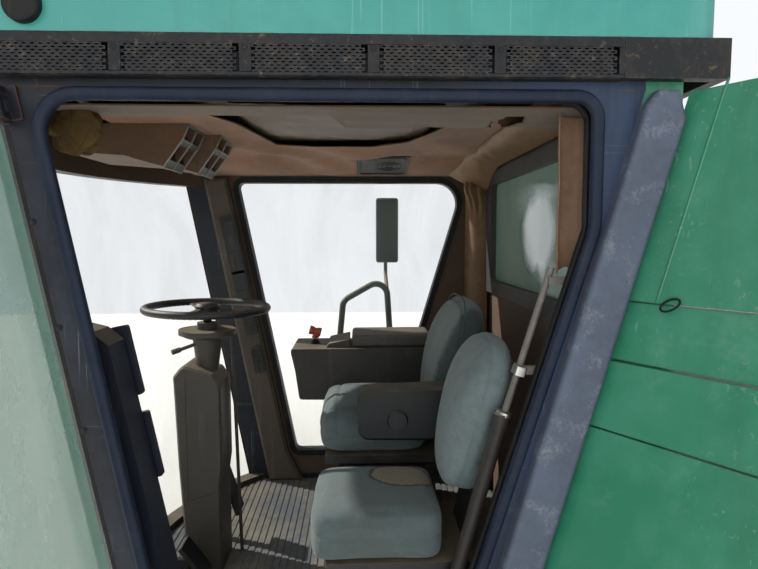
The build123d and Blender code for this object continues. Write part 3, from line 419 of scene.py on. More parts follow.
def fill_weave(nodes, given):
    """Crossed yarns from the product of two sine waves: its size is the height, its sign the yarn on top."""
    where = nodes.place()
    parts = nodes.add("ShaderNodeSeparateXYZ", {"Vector": where})
    turn = nodes.math("DIVIDE", PI, given["Pitch"])
    side = nodes.math("ADD", parts.outputs[1], parts.outputs[2])
    warp = nodes.math("SINE", nodes.math("MULTIPLY", parts.outputs[0], turn))
    weft = nodes.math("SINE", nodes.math("MULTIPLY", side, turn))
    over = nodes.math("MULTIPLY", warp, weft)
    yarn = nodes.math("ABSOLUTE", over)
    fuzz = nodes.noise(where, nodes.math("DIVIDE", 1.4, given["Pitch"]), 3.0)
    height = nodes.math("ADD", nodes.math("MULTIPLY", yarn, 0.6), nodes.math("MULTIPLY", fuzz, 0.4))
    return [height, nodes.band(over, -0.3, 0.3)]


GRIME = effect("grime", (("Scale", 4.0), ("Low", 0.45), ("High", 0.62)), ("Mask",), fill_grime)
STREAKS = effect("streaks", (("Scale", 14.0), ("Low", 0.5), ("High", 0.7)), ("Mask",), fill_streaks)
SCRATCHES = effect("scratches", (("Scale", 60.0), ("Amount", 1.0)), ("Mask",), fill_scratches)
GRAIN = effect("grain", (("Scale", 400.0),), ("Height",), fill_grain)
EDGE_WEAR = effect("edge wear", (("Radius", 0.004), ("Break", 40.0)), ("Mask",), fill_edge_wear)
SETTLED_DUST = effect("settled dust", (("Scale", 6.0), ("Amount", 1.0)), ("Mask",), fill_settled_dust)
WEAVE = effect("weave", (("Pitch", 0.0022),), ("Height", "Mask"), fill_weave)


def shade(color, share, lift=0.0):
    """A colour made darker or paler by a factor, with a little added."""
    return tuple(min(1.0, c * share + lift) for c in color[:3]) + (1.0,)


class Finish(Nodes):
    """A material with one Principled shader that is built up in layers of colour and roughness."""

    def __init__(self, name, color, roughness=0.5, **sockets):
        self.material = bpy.data.materials.new(name)
        self.material.use_nodes = True
        super().__init__(self.material.node_tree)
        self.shader = self.tree.nodes["Principled BSDF"]
        self.color, self.roughness = color, roughness
        for key, value in sockets.items():
            self.shader.inputs[key.replace("_", " ")].default_value = value
        self.heights = []

    def effect(self, group, **values):
        """A shared effect placed in this material with its own values."""
        node = self.add("ShaderNodeGroup", node_tree=group)
        for key, value in values.items():
            self.feed(node.inputs[key], value)
        return node

    def mask(self, group, **values):
        """The mask that a shared effect puts out."""
        return self.effect(group, **values).outputs["Mask"]

    def layer(self, mask, color, strength=1.0, roughness=None):
        """Another colour, and roughness, where the mask is 1."""
        factor = self.math("MULTIPLY", mask, strength) if strength != 1.0 else mask
        self.color = self.mix(factor, self.color, color)
        if roughness is not None:
            node = self.add("ShaderNodeMix", data_type="FLOAT")
            self.feed(node.inputs[0], factor)
            self.feed(node.inputs[2], self.roughness)
            self.feed(node.inputs[3], roughness)
            self.roughness = node.outputs[0]
        return self

    def facing(self, direction):
        """1 on faces that look along a direction."""
        return self.band(self.vector("DOT_PRODUCT", self.normal(), direction), 0.35, 0.6)

    def lined(self, direction):
        """Brown, stained trim on the side of a panel that looks into the cab."""
        side = self.facing(direction)
        self.layer(side, TRIM, roughness=0.75)
        stains = self.math("MULTIPLY", side, self.mask(GRIME, Scale=3.0, Low=0.42, High=0.64))
        return self.layer(stains, tone(70, 58, 48), 0.6)

    def height(self, value, distance):
        """Relief of a height between 0 and 1, distance metres deep, added to the bumps."""
        self.heights.append((value, distance))
        return self

    def done(self, **sockets):
        """Joins colour, roughness and bumps to the shader."""
        self.feed(self.shader.inputs["Base Color"], self.color)
        self.feed(self.shader.inputs["Roughness"], self.roughness)
        normal = None
        for value, distance in self.heights:
            bump = self.add("ShaderNodeBump", {"Strength": 1.0, "Distance": distance, "Height": value})
            if normal:
                self.feed(bump.inputs["Normal"], normal)
            normal = bump.outputs[0]
        if normal:
            self.feed(self.shader.inputs["Normal"], normal)
        for key, value in sockets.items():
            self.feed(self.shader.inputs[key.replace("_", " ")], value)
        return self.material


DUST = tone(150, 136, 112)
DARK_DIRT = tone(46, 40, 34)
RUST = tone(112, 66, 40)
TRIM = tone(88, 70, 56)       # inside panels


def roof_finish():
    """Faded teal paint, chalky in patches, with dirt runs."""
    paint = Finish("roof paint", tone(52, 140, 132), 0.42, Coat_Weight=0.12, Coat_Roughness=0.3)
    paint.layer(paint.mask(GRIME, Scale=2.2, Low=0.42, High=0.62), tone(76, 156, 148), 0.55, 0.6)
    paint.layer(paint.mask(STREAKS, Scale=16.0, Low=0.52, High=0.72), tone(56, 128, 116), 0.5)
    paint.layer(paint.mask(SCRATCHES, Scale=50.0, Amount=0.6), tone(150, 196, 186), 0.5)
    paint.layer(paint.mask(SETTLED_DUST, Scale=5.0, Amount=0.55), DUST, 0.8, 0.85)
    paint.layer(paint.mask(EDGE_WEAR, Radius=0.006, Break=26.0), tone(70, 66, 60), 0.5)
    paint.height(paint.noise(paint.place(), 260.0, 2.0), 0.00015)
    return paint.done()


def green_finish(name="green paint", inside=None):
    """Weathered green sheet: sun-bleached clouds, rubbed grey marks, dirt in runs."""
    paint = Finish(name, tone(44, 126, 96), 0.34, Coat_Weight=0.25, Coat_Roughness=0.18)
    paint.layer(paint.mask(GRIME, Scale=1.6, Low=0.40, High=0.66), tone(82, 152, 128), 0.75, 0.5)
    paint.layer(paint.mask(STREAKS, Scale=9.0, Low=0.48, High=0.75), tone(40, 104, 78), 0.5, 0.55)
    paint.layer(paint.mask(GRIME, Scale=7.0, Low=0.56, High=0.68), tone(96, 146, 122), 0.45, 0.7)
    paint.layer(paint.mask(GRIME, Scale=19.0, Low=0.63, High=0.70), tone(120, 112, 92), 0.5, 0.8)
    paint.layer(paint.mask(SCRATCHES, Scale=70.0, Amount=0.8), tone(140, 168, 150), 0.6)
    paint.layer(paint.mask(EDGE_WEAR, Radius=0.005, Break=30.0), tone(58, 60, 54), 0.7, 0.7)
    if inside:
        paint.lined(inside)
    paint.height(paint.noise(paint.place(), 2.4, 2.0), 0.004)
    paint.height(paint.noise(paint.place(), 300.0, 2.0), 0.00012)
    return paint.done()


def post_finish(name="post paint", inside=None):
    """Navy paint, nearly black towards the front, dusty, rubbed to rust along edges."""
    paint = Finish(name, tone(20, 24, 33), 0.46, Specular_IOR_Level=0.3)
    along = paint.add("ShaderNodeSeparateXYZ", {"Vector": paint.place()}).outputs[1]
    paint.layer(paint.band(along, 0.25, 0.5), tone(44, 60, 86))
    paint.layer(paint.mask(GRIME, Scale=5.0, Low=0.44, High=0.64), tone(48, 56, 70), 0.35, 0.7)
    paint.layer(paint.mask(GRIME, Scale=26.0, Low=0.57, High=0.68), tone(74, 68, 64), 0.35, 0.8)
    paint.layer(paint.mask(STREAKS, Scale=22.0, Low=0.55, High=0.75), tone(18, 22, 30), 0.5)
    paint.layer(paint.mask(SCRATCHES, Scale=90.0, Amount=1.0), tone(112, 116, 122), 0.5)
    paint.layer(paint.mask(SETTLED_DUST, Scale=9.0, Amount=0.8), DUST, 0.8, 0.9)
    paint.layer(paint.mask(EDGE_WEAR, Radius=0.005, Break=34.0), RUST, 0.75, 0.8)
    if inside:
        paint.lined(inside)
    paint.height(paint.noise(paint.place(), 220.0, 3.0), 0.0002)
    return paint.done()


def black_finish():
    """Black satin paint of the floor frame and seat pans."""
    paint = Finish("frame paint", tone(26, 27, 30), 0.45)
    paint.layer(paint.mask(GRIME, Scale=7.0, Low=0.46, High=0.62), tone(64, 58, 50), 0.6, 0.85)
    paint.layer(paint.mask(SETTLED_DUST, Scale=8.0, Amount=0.8), DUST, 0.7, 0.9)
    paint.layer(paint.mask(EDGE_WEAR, Radius=0.003, Break=45.0), tone(96, 90, 84), 0.6)
    paint.height(paint.noise(paint.place(), 240.0, 3.0), 0.0002)
    return paint.done()


def band_finish():
    """Grille band: dark plastic grey with tan dirt caught in it."""
    plastic = Finish("band plastic", tone(22, 24, 29), 0.5, Specular_IOR_Level=0.3)
    plastic.layer(plastic.mask(GRIME, Scale=9.0, Low=0.46, High=0.62), tone(62, 56, 50), 0.5, 0.8)
    plastic.layer(plastic.mask(GRIME, Scale=60.0, Low=0.58, High=0.66), tone(122, 106, 82), 0.6, 0.9)
    plastic.layer(plastic.mask(EDGE_WEAR, Radius=0.002, Break=60.0), tone(120, 118, 116), 0.5)
    plastic.height(plastic.effect(GRAIN, Scale=500.0).outputs[0], 0.0002)
    return plastic.done()


def strip_finish():
    """Grey-blue corner strip, cloudy and scuffed."""
    plastic = Finish("corner strip plastic", tone(82, 92, 110), 0.62)
    plastic.layer(plastic.mask(GRIME, Scale=6.0, Low=0.42, High=0.62), tone(74, 80, 96), 0.8, 0.7)
    plastic.layer(plastic.mask(GRIME, Scale=17.0, Low=0.54, High=0.66), tone(128, 134, 144), 0.6)
    plastic.layer(plastic.mask(GRIME, Scale=34.0, Low=0.62, High=0.70), DARK_DIRT, 0.6, 0.9)
    plastic.layer(plastic.mask(EDGE_WEAR, Radius=0.004, Break=30.0), tone(150, 152, 156), 0.5)
    plastic.height(plastic.effect(GRAIN, Scale=260.0).outputs[0], 0.0003)
    return plastic.done()


def rubber_finish(name, color, bloom=1.7, sheen=0.3):
    """Moulded rubber with a bloom of dust."""
    rubber = Finish(name, color, 0.48, Specular_IOR_Level=0.22)
    rubber.layer(rubber.mask(GRIME, Scale=11.0, Low=0.44, High=0.66), shade(color, bloom, 0.01), 0.5, 0.75)
    rubber.layer(rubber.mask(STREAKS, Scale=40.0, Low=0.56, High=0.74), tone(90, 82, 72), sheen, 0.85)
    rubber.height(rubber.noise(rubber.place(), 420.0, 3.0), 0.00015)
    return rubber.done()


def window_finish(name, color, clear, dusty, smear=0.12, patch=None):
    """Thin pane: smears, specks, more dust low down; patch is the (centre, half size) of a wiped place."""
    glass = Finish(name, color, 0.06, Specular_IOR_Level=0.6)
    where = glass.place()
    swirl = glass.noise(glass.vector("MULTIPLY", where, (1.0, 1.0, 0.35)), 5.0, 7.0, 0.62, 0.8)
    haze = glass.band(swirl, 0.35, 0.70)
    low = glass.math("MULTIPLY", glass.band(glass.height_at(where), 0.95, 0.25), 0.28)
    specks = glass.band(glass.noise(where, 310.0, 2.0), 0.64, 0.74)
    clusters = glass.mask(GRIME, Scale=7.0, Low=0.45, High=0.7)
    spotted = glass.math("MULTIPLY", glass.math("MULTIPLY", specks, clusters), 0.3)
    dirt = glass.math("ADD", glass.math("MULTIPLY", haze, smear), low, clamp=True)
    dirt = glass.math("ADD", dirt, spotted, clamp=True)
    if patch:
        centre, half = patch
        offset = glass.vector("DIVIDE", glass.vector("SUBTRACT", where, centre), half)
        away = glass.math("ADD", glass.vector("LENGTH", offset), glass.math("MULTIPLY", swirl, 1.7))
        wiped = glass.band(away, 2.05, 1.55)
        dirt = glass.math("SUBTRACT", dirt, glass.math("MULTIPLY", wiped, 0.6))
        seen = glass.band(wiped, 0.0, 1.0, dusty, clear)
    glass.layer(dirt, tone(186, 190, 178), 0.5 if patch else 0.8, 0.75)
    return glass.done(Alpha=seen if patch else glass.band(dirt, 0.0, 1.0, clear, dusty))


def vinyl_finish(name, color, grain=520.0, pale=None):
    """Soft grained vinyl, greasy where hands go and dusty in its folds."""
    vinyl = Finish(name, color, 0.52)
    vinyl.layer(vinyl.mask(GRIME, Scale=5.0, Low=0.42, High=0.64), shade(color, 0.55), 0.55, 0.6)
    vinyl.layer(vinyl.mask(GRIME, Scale=13.0, Low=0.52, High=0.68), pale or shade(color, 1.5, 0.01), 0.5)
    vinyl.layer(vinyl.mask(SETTLED_DUST, Scale=12.0, Amount=0.5), DUST, 0.7, 0.85)
    vinyl.height(vinyl.effect(GRAIN, Scale=grain).outputs[0], 0.00035)
    return vinyl.done()


def liner_finish(name, color):
    """Ceiling cloth, tan and stained, fuzzy with crumbled foam."""
    cloth = Finish(name, color, 0.95, Sheen_Weight=0.15, Sheen_Roughness=0.6)
    cloth.layer(cloth.mask(GRIME, Scale=3.4, Low=0.42, High=0.62), shade(color, 0.45), 0.7)
    cloth.layer(cloth.mask(GRIME, Scale=11.0, Low=0.52, High=0.66), shade(color, 1.3), 0.5)
    cloth.layer(cloth.mask(GRIME, Scale=70.0, Low=0.60, High=0.68), tone(24, 20, 16), 0.8)
    cloth.height(cloth.noise(cloth.place(), 160.0, 5.0, 0.7), 0.0016)
    return cloth.done()


def foam_finish():
    """Bare ceiling foam, yellow-brown and cracked."""
    foam = Finish("bare foam", tone(88, 66, 22), 1.0)
    cells = foam.add("ShaderNodeTexVoronoi", {"Vector": foam.place(), "Scale": 24.0},
                     feature="DISTANCE_TO_EDGE")
    foam.layer(foam.band(cells.outputs["Distance"], 0.05, 0.0), tone(34, 26, 14), 0.9)
    foam.layer(foam.mask(GRIME, Scale=9.0, Low=0.45, High=0.6), tone(70, 54, 26), 0.8)
    foam.height(foam.noise(foam.place(), 90.0, 6.0, 0.75), 0.004)
    return foam.done()


def seat_finish(name, color=tone(90, 104, 106), worn=None, side=None):
    """Grey-green tweed, flecked and soiled; worn is a hole's (centre, half size), side a direction whose
    faces get painted shade.
    """
    cloth = Finish(name, color, 0.92, Sheen_Weight=0.15, Sheen_Roughness=0.5)
    weave = cloth.effect(WEAVE, Pitch=0.0022)
    cloth.layer(weave.outputs["Mask"], shade(color, 0.6), 0.7)
    flecks = cloth.band(cloth.noise(cloth.place(), 900.0, 1.0), 0.58, 0.66)
    cloth.layer(flecks, shade(color, 0.25), 0.7)
    cloth.layer(cloth.mask(GRIME, Scale=5.0, Low=0.46, High=0.68), tone(74, 80, 74), 0.7)
    cloth.layer(cloth.mask(GRIME, Scale=21.0, Low=0.60, High=0.70), tone(66, 66, 58), 0.5)
    if side:
        # painted shade: faces that look along side are darkened
        cloth.layer(cloth.facing(side), tone(40, 50, 52), 0.8)
    cloth.height(weave.outputs["Height"], 0.0006)
    if worn:
        centre, half = worn
        offset = cloth.vector("DIVIDE", cloth.vector("SUBTRACT", cloth.place(), centre), half)
        edge = cloth.noise(cloth.place(), 46.0, 4.0, 0.7)
        away = cloth.math("ADD", cloth.vector("LENGTH", offset), cloth.math("MULTIPLY", edge, 0.22))
        inside = cloth.band(away, 1.06, 1.02)
        cloth.layer(cloth.band(away, 1.20, 1.12), tone(26, 28, 28))
        cloth.layer(inside, tone(112, 106, 80))
        threads = cloth.noise(cloth.vector("MULTIPLY", cloth.place(), (1.0, 0.15, 1.0)), 420.0, 2.0)
        cloth.layer(cloth.math("MULTIPLY", inside, cloth.band(threads, 0.5, 0.62)), tone(134, 126, 98), 0.8)
    return cloth.done()


def plastic_finish(name, color, gloss=0.5, grain=600.0, dusty=0.7, wear=0.4, split=None, grey=None):
    """Moulded, dusty plastic; split is a (level, colour above it), grey a direction that stays grey."""
    plastic = Finish(name, color, gloss, Specular_IOR_Level=0.35)
    if split:
        level, above = split
        height = plastic.height_at(plastic.place())
        plastic.layer(plastic.band(height, level, level + 0.001), above, roughness=0.22)
    light = shade(color, 1.8, 0.03)
    plastic.layer(plastic.mask(GRIME, Scale=6.0, Low=0.44, High=0.64), shade(color, 0.6), 0.5, gloss + 0.12)
    plastic.layer(plastic.mask(STREAKS, Scale=30.0, Low=0.56, High=0.74), light, 0.35)
    if grey:
        plastic.layer(plastic.facing(grey), tone(92, 96, 94))
    plastic.layer(plastic.mask(SETTLED_DUST, Scale=10.0, Amount=dusty), DUST, 0.75, 0.85)
    plastic.layer(plastic.mask(EDGE_WEAR, Radius=0.0025, Break=50.0), light, wear)
    plastic.layer(plastic.mask(SCRATCHES, Scale=120.0, Amount=0.7), light, 0.4)
    plastic.height(plastic.effect(GRAIN, Scale=grain).outputs[0], 0.00025)
    return plastic.done()


def mat_finish():
    """Ribbed rubber floor mat, grey with tramped-in dust."""
    rubber = Finish("floor mat", tone(84, 90, 96), 0.8)
    rubber.layer(rubber.mask(GRIME, Scale=3.0, Low=0.40, High=0.62), tone(134, 126, 108), 0.8, 0.95)
    rubber.layer(rubber.mask(GRIME, Scale=16.0, Low=0.54, High=0.68), tone(60, 58, 56), 0.7)
    rubber.layer(rubber.mask(GRIME, Scale=60.0, Low=0.62, High=0.68), tone(40, 36, 30), 0.7)
    rubber.height(rubber.noise(rubber.place(), 180.0, 4.0), 0.0005)
    return rubber.done()


def steel_finish():
    """Bare steel with brown bloom and pale runs."""
    steel = Finish("bright steel", (0.62, 0.6, 0.57, 1.0), 0.28, Metallic=1.0)
    steel.layer(steel.mask(GRIME, Scale=14.0, Low=0.50, High=0.66), tone(128, 98, 74), 0.6, 0.55)
    steel.layer(steel.mask(STREAKS, Scale=60.0, Low=0.5, High=0.7), tone(190, 186, 178), 0.4)
    steel.height(steel.noise(steel.place(), 500.0, 2.0), 0.0001)
    return steel.done()


def lens_finish():
    """Lamp glass with upright flutes."""
    lens = Finish("lamp lens", tone(214, 214, 204), 0.12, Specular_IOR_Level=0.8)
    parts = lens.add("ShaderNodeSeparateXYZ", {"Vector": lens.place()})
    flutes = lens.math("ABSOLUTE", lens.math("SINE", lens.math("MULTIPLY", parts.outputs[0], 420.0)))
    lens.layer(flutes, tone(150, 152, 146), 0.6)
    lens.layer(lens.mask(GRIME, Scale=12.0, Low=0.45, High=0.65), DUST, 0.5, 0.6)
    lens.height(flutes, 0.002)
    return lens.done()


# Padded seats, worked out lying flat about their own middle, in metres

def squared_off(wave, power):
    """A sine or cosine raised to a power with its sign kept: below 1 it squares a circle off."""
    return np.sign(wave) * np.abs(wave) ** power


def cushion_form(half, waist=0.0, foot=1.0, crown=0.0, taper=0.0, square=(0.34, 0.42), rows=30, columns=56):
    """Superellipsoid: cosines and sines raised to small powers give flat faces with round edges.

    half is the half size along x, y and z; foot narrows the lower end, waist pulls the sides in between
    the corners, crown lifts the middle of the +z side, and taper thins the far end along y.
    """
    side_power, plan_power = square
    lift = np.linspace(-PI / 2, PI / 2, rows)[:, None]
    turn = np.linspace(-PI, PI, columns, endpoint=False)[None, :]
    x = half[0] * squared_off(np.cos(lift), side_power) * squared_off(np.cos(turn), plan_power)
    y = half[1] * squared_off(np.cos(lift), side_power) * squared_off(np.sin(turn), plan_power)
    z = half[2] * squared_off(np.sin(lift), side_power) * np.ones_like(turn)
    across, along = x / half[0], y / half[1]
    x *= 1 - waist * (1 - along ** 2)
    y *= 1 - waist * (1 - across ** 2)
    x *= foot + (1 - foot) * np.clip(0.5 + along, 0, 1)
    z += crown * (1 - across ** 2) * (1 - along ** 2) * (z > 0)
    z -= taper * np.clip(along, 0, 1) ** 2 * (z > 0)
    return grid_shape(np.stack([x, y, z], -1), wrap_columns=True)


def stuffed(piece, voxel=0.006, pressure=2.0, cap=0.004, frames=12):
    """Remeshes a form evenly and blows it up a little as cloth, no point moving further than cap."""
    remesh = piece.modifiers.new("even", "REMESH")
    remesh.mode = "VOXEL"
    remesh.voxel_size = voxel
    apply_modifiers(piece)
    before = vertex_values(piece, "co")
    cloth = piece.modifiers.new("stuffing", "CLOTH")
    cloth.settings.use_pressure = True
    cloth.settings.uniform_pressure_force = pressure
    cloth.settings.effector_weights.gravity = 0
    cloth.settings.quality = 4
    cloth.point_cache.frame_start = 1
    cloth.point_cache.frame_end = frames
    scene = bpy.context.scene
    for frame_number in range(1, frames + 1):
        scene.frame_set(frame_number)
    apply_modifiers(piece)
    step = vertex_values(piece, "co") - before
    length = np.linalg.norm(step, axis=1)[:, None]
    set_points(piece, before + step * np.minimum(1.0, cap / np.maximum(length, 1e-9)))
    scene.frame_set(1)


def apply_modifiers(piece):
    """Makes the evaluated mesh the piece's own and clears its modifiers."""
    graph = bpy.context.evaluated_depsgraph_get()
    made = bpy.data.meshes.new_from_object(piece.evaluated_get(graph), depsgraph=graph)
    old = piece.data
    piece.modifiers.clear()
    piece.data = made
    made.name = old.name
    bpy.data.meshes.remove(old)


def rim_seam(level, depth=0.004, width=0.004):
    """Seam all round a pad at one height; every seam is a depth, a width and a distance from it."""
    return depth, width, lambda points: points[:, 2] - level


def top_seam(depth, width, distance):
    """Seam on a pad's upper side only, where distance is 0."""
    return depth, width, lambda points: np.where(points[:, 2] > 0.01, distance(points), 1.0)


def hollow(x, y, depth=0.004, width=0.060):
    """Broad dent about one place of a pad."""
    return depth, width, lambda points: np.hypot(points[:, 0] - x, points[:, 1] - y)


def padded_piece(name, node, half, place, lean, material, seams, **form):
    """Padded seat part: its form is stuffed, sewn, leaned and put in place."""
    piece = put_piece(name, cushion_form(half, **form), material, replaces=node)
    stuffed(piece)
    points, normals = vertex_values(piece, "co"), vertex_values(piece, "normal")
    for depth, width, distance in seams:
        near = np.exp(-(distance(points) / width) ** 2)
        points = points - normals * (depth * near)[:, None]
    set_points(piece, points @ turned("X", lean).T + np.array(place))
    piece.data.polygons.foreach_set("use_smooth", np.ones(len(piece.data.polygons), dtype=bool))
    subdivided(piece)


def put_piping(name, half, offset, place, lean, material, power, foot, radius=0.0022, count=96):
    """Piping round a cushion: a superellipse in the cushion's plane, carried by a small circle."""
    turn = np.linspace(-PI, PI, count, endpoint=False)
    x = half[0] * squared_off(np.cos(turn), power)
    y = half[1] * squared_off(np.sin(turn), power)
    x *= foot + (1 - foot) * np.clip(0.5 + y / half[1], 0, 1)
    path = np.stack([x, y, np.full(count, offset)], -1)
    path = path @ turned("X", lean).T + np.array(place)
    put_piece(name, tube(path, radius, 8, closed=True), material)


def make_driver_seat(cloth, back_cloth, piping):
    """Full cushion with side bolsters, and a rounded backrest with piping round it."""
    low, high = corners("seat_cushion")
    half = (high - low) / 2 - (0.002, 0.004, 0.008)
    bolster, front_roll = 0.150, -0.115
    padded_piece("seat_cushion_cover", "seat_cushion", half, (low + high) / 2, 0.0, cloth, [
        top_seam(0.007, 0.008, lambda points: np.abs(points[:, 0]) - bolster - 0.02 * points[:, 1]),
        top_seam(0.005, 0.006, lambda points: points[:, 1] - front_roll),
        rim_seam(-0.006),
    ], waist=0.02, crown=0.014, square=(0.30, 0.34))
    low, high = corners("seat_back")
    middle = (low + high) / 2 + (0, 0.004, 0)
    half = np.array((0.212, 0.210, 0.064))
    foot, plan_power = 0.90, 0.60
    padded_piece("seat_back_cover", "seat_back", half, middle, BACK_TURN, back_cloth,
                 [rim_seam(0.020, 0.005, 0.005), hollow(0.0, -0.06)],
                 waist=0.01, foot=foot, crown=0.018, taper=0.038, square=(0.46, plan_power))
    sunk, seam_level = (0.001, 0.001, 0), 0.018
    put_piping("seat_back_piping", half - sunk, seam_level, middle, BACK_TURN, piping, plan_power, foot)


def make_second_seat(cloth, back_cloth):
    """Flatter cushion, sat hollow to one side, and a backrest that narrows towards its foot."""
    low, high = corners("guest_cushion")
    middle = (low + high) / 2 + (0, 0.006, -0.004)
    half = (high - low) / 2 + (0.0, 0.004, -0.004)
    padded_piece("guest_cushion_cover", "guest_cushion", half, middle, 0.0, cloth,
                 [rim_seam(0.004), hollow(-0.07, 0.09, 0.005)],
                 waist=0.015, crown=0.010, square=(0.24, 0.26))
    low, high = corners("guest_back")
    middle = (low + high) / 2 + (0, 0.020, 0)
    half = (0.156, 0.205, 0.058)
    padded_piece("guest_back_cover", "guest_back", half, middle, BACK_TURN, back_cloth,
                 [rim_seam(0.008), hollow(0.0, 0.02)],
                 waist=0.01, foot=0.74, crown=0.016, taper=0.030, square=(0.46, 0.66))


# Torn ceiling, worked out along y from the windshield to the rear window

LINER_HALF = 0.689            # centre line to the ceiling's edge at a side
LINER_SPAN = (-0.638, 0.697)  # its front and rear ends
LINER_THICKNESS = 0.003
BED_LEVEL = 1.670             # highest place of the cloth, just under the roof space
STRIP_EDGE = 0.424            # x of the near strip's torn edge
# y and x of the curtain's torn edge, and x and z of the slope that the curtain follows
TEAR = ((-0.638, 0.41), (-0.330, 0.41), (-0.258, 0.257), (-0.193, -0.110), (-0.060, -0.150), (0.152, -0.149),
        (0.271, -0.054), (0.322, 0.075), (0.42, 0.40), (0.697, 0.41))
SLOPE = ((-0.689, 1.600), (-0.633, 1.607), (-0.406, 1.653), (-0.15, 1.662), (0.43, 1.668))
PLATE_Y = 0.202               # middle of the speaker plate
PLATE_HALF = 0.150


def ceiling_grid(x, z, along):
    """Grid of points from rows of x and z over the places along y."""
    return np.stack(np.broadcast_arrays(x, along[None, :], z), -1)


def hole_cells(points, across, along):
    """Which cells of a grid stay when a ragged oval between two x and two y places is torn out."""
    middle = (points[1:, 1:] + points[:-1, :-1]) / 2
    x = (middle[..., 0] - sum(across) / 2) / (across[1] - across[0]) * 2
    y = (middle[..., 1] - sum(along) / 2) / (along[1] - along[0]) * 2
    ragged = 1 + 0.30 * ripple(middle[..., 0] * 60, middle[..., 1] * 60, 19, 8)
    return (x ** 2 + y ** 2 > ragged).ravel()


def put_ceiling(name, points, cloth, node=(), keep=None):
    """Sheet of ceiling cloth from a grid, its good side down; keep picks the cells that stay."""
    flat, faces = grid_shape(points)
    if keep is not None:
        faces = [faces[0][keep]]
    sheet = put_piece(name, (flat, faces), cloth, replaces=node, closed=False)
    tidy = bmesh.new()
    tidy.from_mesh(sheet.data)
    tidy.normal_update()
    if sum(face.normal.z for face in tidy.faces) > 0:
        bmesh.ops.reverse_faces(tidy, faces=tidy.faces)
    tidy.to_mesh(sheet.data)
    tidy.free()
    thickened(sheet, LINER_THICKNESS)


def make_near_strip(felt):
    """Strip over the doorway: it rises to a wavy torn edge, turns up there, and has a ragged hole."""
    along = np.linspace(*LINER_SPAN, 200)
    rail_level, rear_level, front_rise = 1.606, 1.611, 0.029
    front = np.clip((0.066 - along) / 0.036, 0, 1)
    edge_level = rear_level + front_rise * front + 0.003 * ripple(along * 9, 0 * along, 41)
    edge = STRIP_EDGE + 0.010 * ripple(along * 7, 0 * along, 42)
    share = np.linspace(0, 1, 40)[:, None]
    x = LINER_HALF - (LINER_HALF - edge) * share
    sag = 0.004 * np.sin(PI * share) * (1 + ripple(share * 5, along * 5, 43))
    z = rail_level + (edge_level - rail_level) * share ** 1.4 - sag
    rise = np.linspace(0.15, 1, 9)[:, None]
    lip_top, lip_width = BED_LEVEL - 0.002, 0.012
    lip = ceiling_grid(edge - lip_width * rise, edge_level + (lip_top - edge_level) * rise, along)
    points = np.concatenate([ceiling_grid(x, z, along), lip])
    kept = hole_cells(points, across=(0.42, 0.62), along=(0.425, 0.500))
    put_ceiling("ceiling_near_strip", points, felt, "headliner", kept)


def make_far_curtain(cloth):
    """Curtain from the tear to the right side: the roof's slope plus folds, flat over the speaker plate."""
    along = np.linspace(*LINER_SPAN, 200)
    tear = np.interp(along, *zip(*TEAR))
    share = np.linspace(0, 1, 90)[:, None]
    x = tear - (LINER_HALF + tear) * share
    slope = np.interp(x, *zip(*SLOPE))
    plate = np.clip((PLATE_HALF - np.abs(along - PLATE_Y)) / 0.035, 0, 1) * (x < -0.36)
    slack = np.sin(PI * share) * np.clip((-x - 0.05) / 0.2, 0, 1) * (1 - plate)
    waves = np.sin(17 * along + 13 * x + 2.0 * ripple(x * 3, along * 3, 8))
    folds = 0.011 * waves + 0.010 * ripple(x * 5, along * 4, 12)
    sag, droop = 0.010 * slack, 0.014 * (tear < 0.40) * np.exp(-share * 16)
    z = np.minimum(slope - sag + folds * slack - droop, BED_LEVEL)
    put_ceiling("ceiling_far_curtain", ceiling_grid(x, z, along), cloth)


def make_ceiling_board(board, dark):
    """Board that the tear lays bare, its left side bent down, and a near-black sheet above it as painted
    shade of the roof space.
    """
    x, y = np.meshgrid(np.linspace(-0.15, 0.42, 40), np.linspace(-0.24, 0.33, 50), indexing="ij")
    bend = np.clip((x - 0.05) / 0.3, 0, 1) * np.clip((y + 0.10) / 0.2, 0, 1)
    bend *= np.clip((0.26 - y) / 0.1, 0, 1)
    level, drop = 1.672, 0.020
    z = level - drop * bend + 0.002 * ripple(x * 20, y * 20, 4)
    grid = grid_shape(np.stack([x, y, z], -1))
    panel = put_piece("ceiling_board", grid, board, closed=False)
    thickened(panel, 0.004, 1.0)
    # painted shade: a near-black sheet stands for the shadow in the roof space above the board
    space = block((-0.68, -0.60, 1.6765), (0.68, 0.69, 1.6805))
    put_piece("ceiling_painted_shade_sheet", space, dark, smooth=False)


def make_torn_foam(foam):
    """Lump of foam in the front left corner: an ellipsoid whose radius is multiplied by a ripple."""
    round_turn = np.linspace(0, 2 * PI, 60, endpoint=False)
    turn, lean = np.meshgrid(round_turn, np.linspace(0, PI, 34), indexing="ij")
    bump = 1 + 0.32 * ripple(np.cos(turn) * 3 + 3, lean * 2.2, 11, 8)
    ball = np.stack([np.cos(turn) * np.sin(lean), np.cos(lean), np.sin(turn) * np.sin(lean)], -1)
    middle, half = np.array((0.610, -0.542, 1.568)), np.array((0.034, 0.050, 0.054))
    lump = (middle + half * bump[..., None] * ball).transpose(1, 0, 2)
    put_piece("torn_foam", grid_shape(lump, wrap_columns=True), foam)


# Brown vinyl of the rear corners

VINYL_THICKNESS = 0.0025


def put_sheet(name, points, cloth, node=()):
    """Sheet of trim from a grid, which is its middle surface."""
    piece = put_piece(name, grid_shape(points), cloth, replaces=node, closed=False)
    thickened(piece, VINYL_THICKNESS, 0.0)


